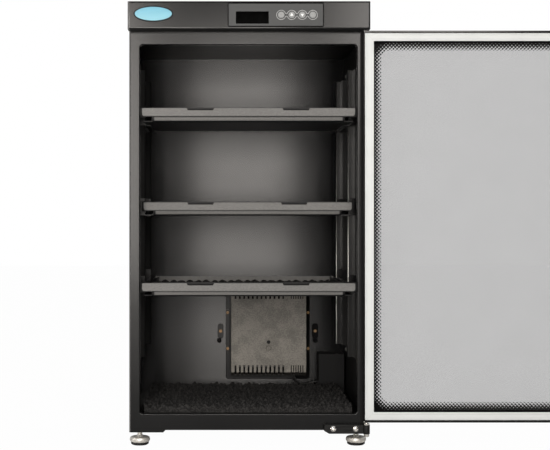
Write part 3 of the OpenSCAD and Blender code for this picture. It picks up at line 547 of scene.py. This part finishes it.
def soften(names, width, segments=2):
    """Rounds the edges of folded sheet nodes with live modifiers"""
    for name in names:
        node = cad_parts[name]
        weld = node.modifiers.new("Weld", "WELD")
        weld.merge_threshold = 0.01 * MM
        bevel = node.modifiers.new("Folds", "BEVEL")
        bevel.width, bevel.segments = width, segments
        bevel.limit_method, bevel.angle_limit = "ANGLE", math.radians(50)


def started(name):
    """The primitive that was just added, under its own name"""
    piece = bpy.context.object
    piece.name = piece.data.name = name
    return piece


def deselect():
    bpy.ops.object.select_all(action="DESELECT")


def choose(piece):
    deselect()
    piece.select_set(True)
    bpy.context.view_layer.objects.active = piece


def settle(piece):
    """Puts the piece's place and turn into its mesh"""
    choose(piece)
    bpy.ops.object.transform_apply(location=True, rotation=True, scale=True)
    return piece


def pick_faces(piece, wanted):
    """Selects the faces of the mesh in edit mode for which wanted(face) holds"""
    mesh = bmesh.from_edit_mesh(piece.data)
    bpy.ops.mesh.select_all(action="DESELECT")
    for face in mesh.faces:
        if wanted(face):
            face.select_set(True)
    bmesh.update_edit_mesh(piece.data)


def finish_piece(piece, body, material, smooth_deg=40):
    """Shades, paints and mounts a finished mesh"""
    choose(piece)
    bpy.ops.object.shade_smooth_by_angle(angle=math.radians(smooth_deg))
    piece.data.materials.clear()
    piece.data.materials.append(material)
    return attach(piece, body)


def copied(piece, name, shift):
    """A copy with a mesh of its own, moved by shift"""
    twin = piece.copy()
    twin.data = piece.data.copy()
    twin.name = twin.data.name = name
    bpy.context.scene.collection.objects.link(twin)
    twin.data.transform(Matrix.Translation(shift))
    return twin


def apply_modifier(piece, kind, **settings):
    """Adds a modifier with these settings, and applies it"""
    choose(piece)
    modifier = piece.modifiers.new(kind.title(), kind)
    for key, value in settings.items():
        setattr(modifier, key, value)
    bpy.ops.object.modifier_apply(modifier=modifier.name)


def tube(name, points, radius, closed=False, sides=12):
    """A round bead or lead along points, as a mesh; sides is a multiple of four"""
    curve = bpy.data.curves.new(name, "CURVE")
    curve.dimensions = "3D"
    curve.bevel_depth, curve.bevel_resolution = radius, sides // 4 - 1
    curve.use_fill_caps = not closed
    spline = curve.splines.new("POLY")
    spline.points.add(len(points) - 1)
    for point, place in zip(spline.points, points):
        point.co = (*place, 1)
    spline.use_cyclic_u = closed
    piece = bpy.data.objects.new(name, curve)
    bpy.context.scene.collection.objects.link(piece)
    choose(piece)
    bpy.ops.object.convert(target="MESH")
    return bpy.context.object


def between(before, a, b, after, t):
    """The point at share t of the way from a to b on a smooth line through all four points"""
    return 0.5 * (2 * a + (b - before) * t + (2 * before - 5 * a + 4 * b - after) * t * t
                  + (3 * a - before - 3 * b + after) * t ** 3)


def disc(name, centre, radius, depth, facing="-Y", vertices=32, turn=0.0):
    """A round or many-sided plate whose front face stands at centre"""
    sign = -1 if facing == "-Y" else 1
    place = Vector(centre) - Vector((0, sign * depth / 2, 0))
    bpy.ops.mesh.primitive_cylinder_add(
        vertices=vertices, radius=radius, depth=depth, location=place,
        rotation=(math.radians(90), turn, 0))
    return settle(started(name))


def round_front(piece, y, width, segments=2):
    """Bevels the rim of the face that lies at y"""
    bpy.ops.object.mode_set(mode="EDIT")
    bpy.ops.mesh.select_mode(type="FACE")
    pick_faces(piece, lambda face: abs(face.calc_center_median().y - y) < 0.01 * MM)
    bpy.ops.mesh.bevel(offset=width, segments=segments, affect="EDGES")
    bpy.ops.object.mode_set(mode="OBJECT")


# ---------- operators ----------


class CabinetOperator:
    """What all operators of the cabinet share"""

    bl_options = {"REGISTER", "UNDO"}


class DRYCAB_OT_carcass(CabinetOperator, bpy.types.Operator):
    """Powder coats the carcass and screws its back panel down"""

    bl_idname = "drycab.carcass"
    bl_label = "Carcass"

    def execute(self, context):
        steel = context.scene.drycab_steel
        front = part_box("front_frame")[0]
        side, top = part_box("cabinet_shell")[1].x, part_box("cabinet_shell")[1].z
        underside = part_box("header_fascia")[0].z
        hinge_side, frame_depth, highlight_width, sheet = 184.5 * MM, 5 * MM, 1.6 * MM, 0.8 * MM

        def coat(name, *masks):
            return powder_coat(name, steel.body, steel.gloss, steel.grain, COAT_LEVEL, *masks)

        # Masks: matt by the hinge, inside the shell and under the header, and a painted highlight in
        # lighter grey on the rounded left edge
        def by_hinge(x, y, z):
            return (x > hinge_side) * (y < front.y + frame_depth)

        def inner_face(x, y, z):
            return (abs(x) < side - sheet) * (z < top - sheet)

        def below(x, y, z):
            return z < underside + 0.3 * MM

        def left_edge(x, y, z):
            return x < front.x + highlight_width

        dress(coat("body_paint", by_hinge, left_edge), "front_frame", "rear_vent_cover")
        dress(coat("shell_paint", inner_face), "cabinet_shell")
        dress(coat("header_paint", below, left_edge), "header_fascia")
        inner = rolled_paint("inner_paint", steel.inner, steel.inner_gloss, steel.grain)
        dress(inner, "back_panel", "floor_pan")
        ceiling = powder_coat("ceiling_paint", steel.inner, 0.32, steel.grain, COAT_LEVEL)
        dress(ceiling, "ceiling_panel")
        soften(["header_fascia", "front_frame", "rear_vent_cover"], 0.6 * MM)
        soften(["cabinet_shell"], 0.4 * MM)
        self.back_screws()
        return {"FINISHED"}

    def back_screws(self):
        """Pan head screws with a crossed slot along the folded edge of the back"""
        low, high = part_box("cabinet_shell")
        head_r, head_h, edge = 3.3 * MM, 1.7 * MM, 6 * MM
        slot_length, slot_depth, slot_width = 3.4 * MM, 1.6 * MM, 1.0 * MM
        first = disc("back_screw", (0, high.y + head_h, 0), head_r, head_h, "+Y", 24)
        round_front(first, high.y + head_h, 0.8 * MM, 3)
        for turn in (0, 90):
            bpy.ops.mesh.primitive_cube_add(
                size=1, location=(0, high.y + head_h, 0), rotation=(0, math.radians(turn), 0))
            cutter = started("slot")
            cutter.scale = (slot_length, slot_depth, slot_width)
            settle(cutter)
            apply_modifier(first, "BOOLEAN", operation="DIFFERENCE", object=cutter, solver="EXACT")
            bpy.data.objects.remove(cutter)
        sides = [(side * (high.x - edge), low.z + share * (high.z - low.z))
                 for side in (-1, 1) for share in (0.04, 0.27, 0.5, 0.73, 0.96)]
        top = (0.0, high.z - edge)
        metal = plated("screw_plating", (0.62, 0.61, 0.58), 0.28)
        for i, (x, z) in enumerate([*sides, top], 1):
            screw = copied(first, f"back_screw_{i}", (x, 0, z))
            finish_piece(screw, "cabinet", metal, 35)
        bpy.data.objects.remove(first)


class DRYCAB_OT_control_panel(CabinetOperator, bpy.types.Operator):
    """Finishes the badge, control panel and buttons, and adds the marks on them"""

    bl_idname = "drycab.control_panel"
    bl_label = "Control Panel"

    def execute(self, context):
        panel = context.scene.drycab_panel
        low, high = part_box("badge_plate")
        centre, badge_rim = (low + high) / 2, 1.7 * MM
        half_x, half_z = centre.x - low.x - badge_rim, centre.z - low.z - badge_rim
        dress(badge_enamel("badge_enamel", centre, half_x, half_z), "badge_plate")
        bezel = framed_panel("bezel_plastic", panel.bezel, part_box("control_bezel"), panel.rim)
        dress(bezel, "control_bezel")
        dress(smoked_window("display_black"), "display_window")
        dress(moulded("board_green", (0.02, 0.10, 0.04), 0.45, 2 * MM, 0.3), "control_board")
        keys = ["button_menu", "button_up", "button_down", "button_set"]
        middles = [sum(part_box(key), Vector()) / 2 for key in keys]
        radius = (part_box(keys[0])[1].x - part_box(keys[0])[0].x) / 2
        dress(silver_button("button_silver", panel.button, middles, radius), *keys)
        soften(["control_bezel"], 0.35 * MM)
        self.outline(panel, middles)
        self.icons(panel)
        return {"FINISHED"}

    def outline(self, panel, middles):
        """One raised line that swings round all four buttons, sunk a little into the panel's face"""
        face_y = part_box("control_bezel")[0].y + 0.6 * MM
        half_pitch = (middles[1].x - middles[0].x) / 2
        ring, waist = panel.ring, panel.waist
        fillet = (half_pitch ** 2 + waist ** 2 - ring ** 2) / (2 * (ring - waist))
        lean = math.atan2(waist + fillet, half_pitch)

        def arc(centre, radius, start, end, steps):
            angles = [start + (end - start) * i / steps for i in range(steps + 1)]
            return [(centre[0] + radius * math.cos(angle), centre[1] + radius * math.sin(angle))
                    for angle in angles]

        upper = []
        for i, middle in enumerate(middles):
            start = math.pi if i == 0 else math.pi - lean
            end = 0.0 if i == len(middles) - 1 else lean
            upper += arc((middle.x, 0), ring, start, end, 20)
            if i < len(middles) - 1:
                bend = (middle.x + half_pitch, waist + fillet)
                upper += arc(bend, fillet, math.pi + lean, 2 * math.pi - lean, 6)[1:-1]
        lower = [(x, -z) for x, z in reversed(upper)][1:-1]
        points = [(x, face_y, middles[0].z + z) for x, z in upper + lower]
        line = tube("button_outline", points, panel.line, closed=True, sides=12)
        finish_piece(line, "cabinet", moulded("mark_grey", panel.mark, 0.4, 0.5 * MM, 0.05), 60)

    def icons(self, panel):
        """Arrows on the middle buttons, a ring and a square on the outer ones"""
        white = moulded("icon_white", panel.icon, 0.45, 0.5 * MM, 0.05)
        grey = moulded("icon_grey", scaled(panel.icon, 0.4), 0.45, 0.5 * MM, 0.05)
        depth, arrow_r, mark_r, stroke = 0.16 * MM, 3.1 * MM, 2.9 * MM, 0.7 * MM

        def plate(key, kind, radius, sides, turn):
            low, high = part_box(key)
            centre = ((low.x + high.x) / 2, low.y - depth, (low.z + high.z) / 2)
            return disc(f"{key}_{kind}", centre, radius, 2 * depth, "-Y", sides, math.radians(turn))

        for key, turn in (("button_up", 0), ("button_down", 180)):
            arrow = plate(key, "arrow", arrow_r, 3, turn)
            round_front(arrow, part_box(key)[0].y - depth, 0.06 * MM, 1)
            finish_piece(arrow, key, white, 30)
        for key, sides, turn in (("button_menu", 32, 0), ("button_set", 4, 45)):
            mark = plate(key, "mark", mark_r, sides, turn)
            bpy.ops.object.mode_set(mode="EDIT")
            pick_faces(mark, lambda face: abs(face.normal.y) > 0.9)
            bpy.ops.mesh.inset(thickness=stroke)
            bpy.ops.mesh.bridge_edge_loops()
            bpy.ops.object.mode_set(mode="OBJECT")
            finish_piece(mark, key, grey, 30)


class DRYCAB_OT_shelves(CabinetOperator, bpy.types.Operator):
    """Finishes the uprights, runners, trays and their front bars"""

    bl_idname = "drycab.shelves"
    bl_label = "Shelves"

    def execute(self, context):
        steel = context.scene.drycab_steel
        # Dark paint, and the bright metal painted as a highlight on the right uprights' hems
        dark, bright = (0.014, 0.014, 0.0135), (0.42, 0.42, 0.40)
        rail = hemmed_steel("rail_paint", dark, bright, steel.hem, glint_floor_z=262 * MM)
        dress(rail, "shelf_uprights")
        runner = powder_coat("runner_paint", steel.inner, 0.2, steel.grain, 0.4)
        dress(runner, "runners_left", "runners_right")
        soften(["shelf_uprights"], 0.3 * MM, 1)
        dress(plated("rail_screw_zinc", (0.60, 0.60, 0.57), 0.3), "shelf_screws")
        cap_plastic = moulded("cap_plastic", (0.003, 0.003, 0.003), 0.85)
        for i in (1, 2, 3):
            # The bar is grey on its face; behind it and along its lowest 1.2 mm it is dark, painted
            # shade and a painted shadow line under the bar
            low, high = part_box(f"front_bar_{i}")
            foot = Vector((0, 0, low.z + 1.2 * MM))
            face = Vector((high.x + 3 * MM, low.y + 1.3 * MM, high.z))
            bar = enamel(f"bar_enamel_{i}", steel.bar, steel.tray, 0.13, foot, face)
            dress(bar, f"front_bar_{i}")
            # The tray is grey on its front hem, between the folds of its sides, and on its rear wall;
            # its underside, sides and lowest fold are dark, as painted shade
            low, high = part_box(f"tray_{i}")
            fold = low + Vector((0, 0, 2.4 * MM))
            hem = Vector((157 * MM, low.y + 4 * MM, low.z + 9 * MM))
            rear_y = high.y - 3 * MM
            tray = enamel(f"tray_enamel_{i}", steel.bar, steel.tray, 0.1, fold, hem, rear_y)
            dress(tray, f"tray_{i}")
            dress(cap_plastic, f"end_caps_{i}")
            soften([f"tray_{i}", f"front_bar_{i}", f"end_caps_{i}"], 0.4 * MM)
        return {"FINISHED"}


class DRYCAB_OT_foam_pads(CabinetOperator, bpy.types.Operator):
    """Models the convoluted foam in the trays and on the floor"""

    bl_idname = "drycab.foam_pads"
    bl_label = "Foam Pads"

    def execute(self, context):
        foam = context.scene.drycab_foam
        finish = open_foam("charcoal_foam", foam.colour, foam.speck)
        # name, node, body, height of the valleys, how far the peaks stay below the node, shape
        pads = [(f"tray_foam_{i}", f"foam_{i}", f"shelf_{i}", 5 * MM, 2 * MM, self.egg_crate)
                for i in (1, 2, 3)]
        pads.append(("floor_pad", "floor_foam", "cabinet", 15 * MM, 0.2 * MM, self.rows))
        for pad in pads:
            self.pad(foam, finish, *pad)
        return {"FINISHED"}

    @staticmethod
    def egg_crate(foam, u, v):
        """Staggered peaks: 0 in a dimple, 1 on a peak"""
        wave = 2 * math.pi / foam.pitch
        return (0.5 + 0.5 * math.cos(wave * u) * math.cos(wave * v)) ** 1.25

    @staticmethod
    def rows(foam, u, v):
        """Low peaks in wandering rows that swell and sink along their length"""
        wave = 2 * math.pi / foam.pitch
        ridge = 0.5 + 0.5 * math.cos(2 * wave * u + 0.9 * math.sin(wave * v)) * math.cos(1.7 * wave * v)
        swell = math.cos(0.6 * wave * v + 0.9 * wave * u)
        return 0.62 * ridge ** 1.3 + 0.18 * swell + 0.2

    def pad(self, foam, finish, name, node, body, valley, sunk, height):
        """One pad in place of a node: a grid raised to height(foam, u, v), closed below"""
        low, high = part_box(node)
        crest = high.z - low.z - sunk
        cells_x = round((high.x - low.x) / foam.step)
        cells_y = round((high.y - low.y) / foam.step)
        mesh = bmesh.new()
        bmesh.ops.create_grid(mesh, x_segments=cells_x, y_segments=cells_y, size=0.5)
        cos, sin = math.cos(foam.slant), math.sin(foam.slant)
        for vertex in mesh.verts:
            x = (vertex.co.x + 0.5) * (high.x - low.x)
            y = (vertex.co.y + 0.5) * (high.y - low.y)
            u, v = x * cos + y * sin, y * cos - x * sin
            rise = valley + (crest - valley) * height(foam, u, v)
            vertex.co = (low.x + x, low.y + y, low.z + min(rise, crest))
        self.close_below(mesh, low.z)
        data = bpy.data.meshes.new(name)
        mesh.to_mesh(data)
        mesh.free()
        piece = bpy.data.objects.new(name, data)
        bpy.context.scene.collection.objects.link(piece)
        finish_piece(piece, body, finish, 50)
        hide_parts(node)

    @staticmethod
    def close_below(mesh, floor):
        """Cut sides down to the floor, and a flat underside"""
        rim = [edge for edge in mesh.edges if edge.is_boundary]
        walls = bmesh.ops.extrude_edge_only(mesh, edges=rim)["geom"]
        for vertex in (item for item in walls if isinstance(item, bmesh.types.BMVert)):
            vertex.co.z = floor
        bmesh.ops.contextual_create(
            mesh, geom=[edge for edge in mesh.edges if edge.is_boundary])
        bmesh.ops.recalc_face_normals(mesh, faces=mesh.faces)


class DRYCAB_OT_door(CabinetOperator, bpy.types.Operator):
    """Finishes the door: steel frame, dotted glass, gasket, lock and pull"""

    bl_idname = "drycab.door"
    bl_label = "Door"

    def execute(self, context):
        steel, door = context.scene.drycab_steel, context.scene.drycab_door
        dress(powder_coat("door_paint", steel.body, steel.gloss, steel.grain, COAT_LEVEL), "door_frame")
        soften(["door_frame"], 0.5 * MM)
        gasket, gasket_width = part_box("door_gasket"), 14 * MM
        seal = gasket[0].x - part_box("door_glass")[0].x + gasket_width
        dress(dotted_glass("door_glass", door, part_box("door_glass"), seal), "door_glass")
        dress(vinyl("gasket_vinyl", door.gasket, gasket), "door_gasket")
        dress(moulded("bush_nylon", (0.72, 0.72, 0.68), 0.4), "door_bushes")
        dress(plated("lock_nickel", (0.66, 0.65, 0.62), 0.2), "lock_body", "lock_plug", "lock_cam")
        dress(moulded("grip_plastic", (0.007, 0.007, 0.007), 0.3), "door_grip")
        soften(["door_grip"], 1.0 * MM, 3)
        return {"FINISHED"}


class DRYCAB_OT_hinges(CabinetOperator, bpy.types.Operator):
    """Finishes the hinges and their screws"""

    bl_idname = "drycab.hinges"
    bl_label = "Hinges"

    def execute(self, context):
        steel = context.scene.drycab_steel
        bracket = powder_coat("bracket_paint", scaled(steel.body, 0.9), 0.6, steel.grain, COAT_LEVEL)
        dress(bracket, "hinge_bracket", "upper_hinge_plate")
        soften(["hinge_bracket"], 0.6 * MM)
        dress(plated("hinge_nickel", (0.78, 0.76, 0.72), 0.17), "hinge_pins", "hinge_screws")
        return {"FINISHED"}


class DRYCAB_OT_dry_unit(CabinetOperator, bpy.types.Operator):
    """Finishes the dehumidifying unit and adds the moulded marks on its face"""

    bl_idname = "drycab.dry_unit"
    bl_label = "Dry Unit"

    def execute(self, context):
        steel = context.scene.drycab_steel
        chamfer_z, plate_side = 84.5 * MM, 100 * MM
        # The plastic is darkened below chamfer_z as painted shade
        shell = mottled_plastic("unit_plastic", (0.196, 0.184, 0.162), chamfer_z)
        dress(shell, "unit_housing")
        soften(["unit_housing"], 0.35 * MM, 1)
        plate = powder_coat("plate_paint", scaled(steel.inner, 1.2), 0.35, steel.grain, 0.25,
                            lambda x, y, z: x > plate_side)
        dress(plate, "unit_mount_plate", "unit_clamps")
        soften(["unit_mount_plate"], 0.5 * MM)
        dress(plated("brass", (0.22, 0.14, 0.075), 0.42), "unit_screws")
        # The parts inside the unit are darkened as painted shade, so that its slots stay dark
        dress(moulded("cassette_in_shade", (0.03, 0.03, 0.028), 0.6), "desiccant_cassette")
        dress(moulded("shutter_in_shade", (0.006, 0.006, 0.006), 0.7), "shutter_carriage")
        dress(plated("heater_aluminium_in_shade", (0.16, 0.16, 0.16), 0.5), "heater_plate")
        dress(plated("spring_steel", (0.22, 0.22, 0.22), 0.4), "shutter_spring")
        self.face_marks(shell)
        return {"FINISHED"}

    def face_marks(self, shell):
        """A cap over the screw, a dark plug in the face and a plain raised frame over them"""
        face_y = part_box("unit_housing")[0].y + 0.7 * MM
        middle_x, half_width, low_z, high_z = 47 * MM, 8.6 * MM, 151.7 * MM, 169 * MM
        corners = [(middle_x + side * half_width, face_y, z)
                   for side, z in ((-1, low_z), (1, low_z), (1, high_z), (-1, high_z))]
        border = tube("unit_border", corners, 0.45 * MM, closed=True)
        finish_piece(border, "cabinet", shell, 60)
        # A black disc painted as the shade in a hole in the face
        black = moulded("hole_shade_black", (0.01, 0.01, 0.01), 0.7)
        shade_spot = Vector((middle_x, face_y - 0.3 * MM, 142 * MM))
        cap = Vector((middle_x, face_y + 0.6 * MM, 130.5 * MM))
        for name, place, radius, finish in (
            ("unit_hole_shade", shade_spot, 3.4 * MM, black),
            ("unit_screw_cap", cap, 4.2 * MM, shell),
        ):
            piece = disc(name, place, radius, 1.0 * MM, "-Y", 28)
            round_front(piece, place.y, 0.25 * MM)
            finish_piece(piece, "cabinet", finish, 40)


class DRYCAB_OT_power(CabinetOperator, bpy.types.Operator):
    """Finishes the power box and inlet, and lays the lead from the dry unit"""

    bl_idname = "drycab.power"
    bl_label = "Power Box and Lead"

    def execute(self, context):
        black = moulded("box_plastic", (0.004, 0.004, 0.0045), 0.7)
        dress(black, "power_box")
        soften(["power_box"], 0.5 * MM)
        low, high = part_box("power_inlet")
        pins_low = (157.8 * MM, low.y + 3.05 * MM, low.z + 6.2 * MM)
        pins_high = (174.2 * MM, high.y - 3.2 * MM, high.z - 4.9 * MM)
        inlet = inlet_plastic("inlet_plastic", (0.010, 0.010, 0.010), (pins_low, pins_high))
        dress(inlet, "power_inlet")
        self.lead()
        return {"FINISHED"}

    def lead(self):
        """The lead's own route, rounded off between its points"""
        low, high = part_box("unit_lead")
        lead_y, radius = (low.y + high.y) / 2, 2.3 * MM
        # x and z in millimetres, down from the housing and across to the gland
        route = [
            (98, 73), (98, 70.6), (99, 68.2), (101.4, 65.8), (104.8, 63.6), (109, 62.1), (114, 61.3),
            (119, 61.2), (124, 61.8), (128.5, 62.8), (132, 63.6), (135, 64), (138, 64),
        ]
        points = [Vector((x * MM, lead_y, z * MM)) for x, z in route]
        chain = [points[0], *points, points[-1]]
        smooth = [between(*four, step / 4)
                  for four in zip(chain, chain[1:], chain[2:], chain[3:]) for step in range(4)]
        lead = tube("unit_lead_jacket", smooth + [points[-1]], radius, sides=16)
        jacket = moulded("lead_jacket", (0.012, 0.012, 0.012), 0.3, 0.4 * MM)
        finish_piece(lead, "cabinet", jacket, 60)
        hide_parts("unit_lead")
        self.relief(jacket, points[0], high.z)

    def relief(self, jacket, exit_point, top):
        """Ribbed, tapered strain relief where the lead leaves the housing"""
        radius, rib, slit, slits = 3.1 * MM, 0.9 * MM, 0.5 * MM, 3
        place = (exit_point.x, exit_point.y, top - rib / 2)
        bpy.ops.mesh.primitive_cylinder_add(vertices=24, radius=radius, depth=rib, location=place)
        piece = settle(started("unit_lead_relief"))
        bpy.ops.object.mode_set(mode="EDIT")
        bpy.ops.mesh.select_mode(type="FACE")
        for _ in range(slits):
            # In to the slit, down along it, out to the next rib and down to that rib's end
            for scale, drop in ((0.88, 0), (1, slit), (1.06, 0), (0.98, rib)):
                pick_faces(piece, lambda face: face.normal.z < -0.9)
                bpy.ops.mesh.extrude_region_move(TRANSFORM_OT_translate={"value": (0, 0, -drop)})
                bpy.ops.transform.resize(value=(scale, scale, 1))
        bpy.ops.object.mode_set(mode="OBJECT")
        finish_piece(piece, "cabinet", jacket, 40)


class DRYCAB_OT_feet(CabinetOperator, bpy.types.Operator):
    """Finishes the levelling feet"""

    bl_idname = "drycab.feet"
    bl_label = "Feet"

    def execute(self, context):
        dress(plated("foot_nickel", (0.85, 0.83, 0.78), 0.38, 0.6),
              "foot_front_left", "foot_front_right", "foot_rear_left", "foot_rear_right")
        dress(moulded("foot_rubber", (0.010, 0.010, 0.010), 0.6), "foot_pads")
        return {"FINISHED"}


class DRYCAB_OT_studio(CabinetOperator, bpy.types.Operator):
    """Sets up the pale floor, the soft boxes and the camera"""

    bl_idname = "drycab.studio"
    bl_label = "Studio"

    def execute(self, context):
        studio = context.scene.drycab_studio
        self.floor(studio)
        self.world(studio)
        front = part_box("front_frame")[0].y
        self.soft_boxes(front)
        place = (studio.aside, front - studio.distance, studio.height)
        bpy.ops.object.camera_add(location=place, rotation=(math.radians(90), 0, 0))
        camera = bpy.context.object
        camera.data.lens, camera.data.sensor_width = studio.lens, 36
        camera.data.shift_x, camera.data.shift_y = studio.shift
        context.scene.camera = camera
        context.scene.view_settings.view_transform = "Standard"
        return {"FINISHED"}

    def soft_boxes(self, front):
        """Lit panels behind the camera and to its left, which the black paint mirrors"""
        boxes_y = front - 2.4
        # name, middle, turn, width, height, radiance
        for name, middle, turn, width, height, radiance in (
            ("Box Middle", (0.075, boxes_y, 0.56), 0, 0.41, 0.83, 12.8),
            ("Box Left", (-0.60, boxes_y, 0.66), 0, 0.48, 1.07, 17.0),
            ("Box Right", (0.70, boxes_y, 1.10), 0, 0.56, 0.60, 12.0),
            ("Box Side", (-1.75, front - 0.78, 0.45), -63, 0.25, 1.1, 8.0),
        ):
            bpy.ops.object.light_add(
                type="AREA", location=middle, rotation=(math.radians(90), 0, math.radians(turn)))
            lamp = bpy.context.object
            lamp.name = name
            lamp.data.shape, lamp.data.size, lamp.data.size_y = "RECTANGLE", width, height
            lamp.data.energy = radiance * math.pi * width * height
            lamp.data.color = LAMP_WARMTH
            lamp.visible_camera = False

    def floor(self, studio):
        """White for the camera, with a trace of the shadows, and a pale grey for all other rays"""
        bpy.ops.mesh.primitive_plane_add(size=12)
        plane = started("studio_floor")
        g = Graph("studio_floor")
        seen = g.add("ShaderNodeLightPath", out="Is Camera Ray")
        lit = g.add("ShaderNodeBsdfDiffuse", inputs={"Color": (0.8, 0.8, 0.8, 1)})
        white = g.add("ShaderNodeEmission", inputs={"Color": (1, 1, 1, 1), "Strength": 1.0})
        surface = g.add("ShaderNodeMixShader", inputs={0: seen * studio.white, 1: lit, 2: white})
        g.add("ShaderNodeOutputMaterial", inputs={"Surface": surface})
        plane.data.materials.append(g.owner)

    def world(self, studio):
        """White for the camera, soft from above and behind, dim on the camera's side"""
        g = Graph("Studio", "worlds")
        way = g.add("ShaderNodeTexCoord", out="Generated")
        _, back, up = [g.add("ShaderNodeSeparateXYZ", inputs={0: way}, out=i) for i in range(3)]
        above = g.smooth(up, 0.35, 0.75)
        behind = studio.behind * g.smooth(back, 0.0, 0.25)
        light = studio.dim + (studio.above - studio.dim) * above
        light = g.math("MAXIMUM", light, behind)
        seen = g.add("ShaderNodeLightPath", out="Is Camera Ray")
        through = g.add("ShaderNodeLightPath", out="Is Transmission Ray")
        white = g.math("MAXIMUM", seen, through)
        level = g.math("MAXIMUM", light, white)
        glow = g.add("ShaderNodeBackground", inputs={"Color": (1, 1, 1, 1), "Strength": level})
        g.add("ShaderNodeOutputWorld", inputs={"Surface": glow})
        bpy.context.scene.world = g.owner


GROUPS = (
    DRYCAB_OT_studio, DRYCAB_OT_power, DRYCAB_OT_carcass, DRYCAB_OT_control_panel, DRYCAB_OT_shelves,
    DRYCAB_OT_foam_pads, DRYCAB_OT_door, DRYCAB_OT_hinges, DRYCAB_OT_dry_unit, DRYCAB_OT_feet,
)
SETTINGS = {
    "drycab_steel": SteelSettings, "drycab_foam": FoamSettings, "drycab_panel": PanelSettings,
    "drycab_door": DoorSettings, "drycab_studio": StudioSettings,
}


class DRYCAB_PT_sidebar(bpy.types.Panel):
    """Lists the cabinet's groups of parts"""

    bl_idname = "DRYCAB_PT_sidebar"
    bl_label = "Dry Cabinet"
    bl_space_type = "VIEW_3D"
    bl_region_type = "UI"
    bl_category = "Dry Cabinet"

    def draw(self, context):
        for group in GROUPS:
            self.layout.operator(group.bl_idname)
        for name, settings in SETTINGS.items():
            column = self.layout.column(heading=settings.__doc__)
            for key in settings.__annotations__:
                column.prop(getattr(context.scene, name), key)


def register():
    for settings in SETTINGS.values():
        bpy.utils.register_class(settings)
    for group in (*GROUPS, DRYCAB_PT_sidebar):
        bpy.utils.register_class(group)
    for name, settings in SETTINGS.items():
        setattr(bpy.types.Scene, name, bpy.props.PointerProperty(type=settings))


def unregister():
    for name in SETTINGS:
        delattr(bpy.types.Scene, name)
    for group in (DRYCAB_PT_sidebar, *reversed(GROUPS)):
        bpy.utils.unregister_class(group)
    for settings in reversed(SETTINGS.values()):
        bpy.utils.unregister_class(settings)


def main():
    register()
    deselect()
    for group in GROUPS:
        area, action = group.bl_idname.split(".")
        result = getattr(getattr(bpy.ops, area), action)()
        if result != {"FINISHED"}:
            raise RuntimeError(f"{group.bl_label} did not finish")


if __name__ == "__main__":
    main()
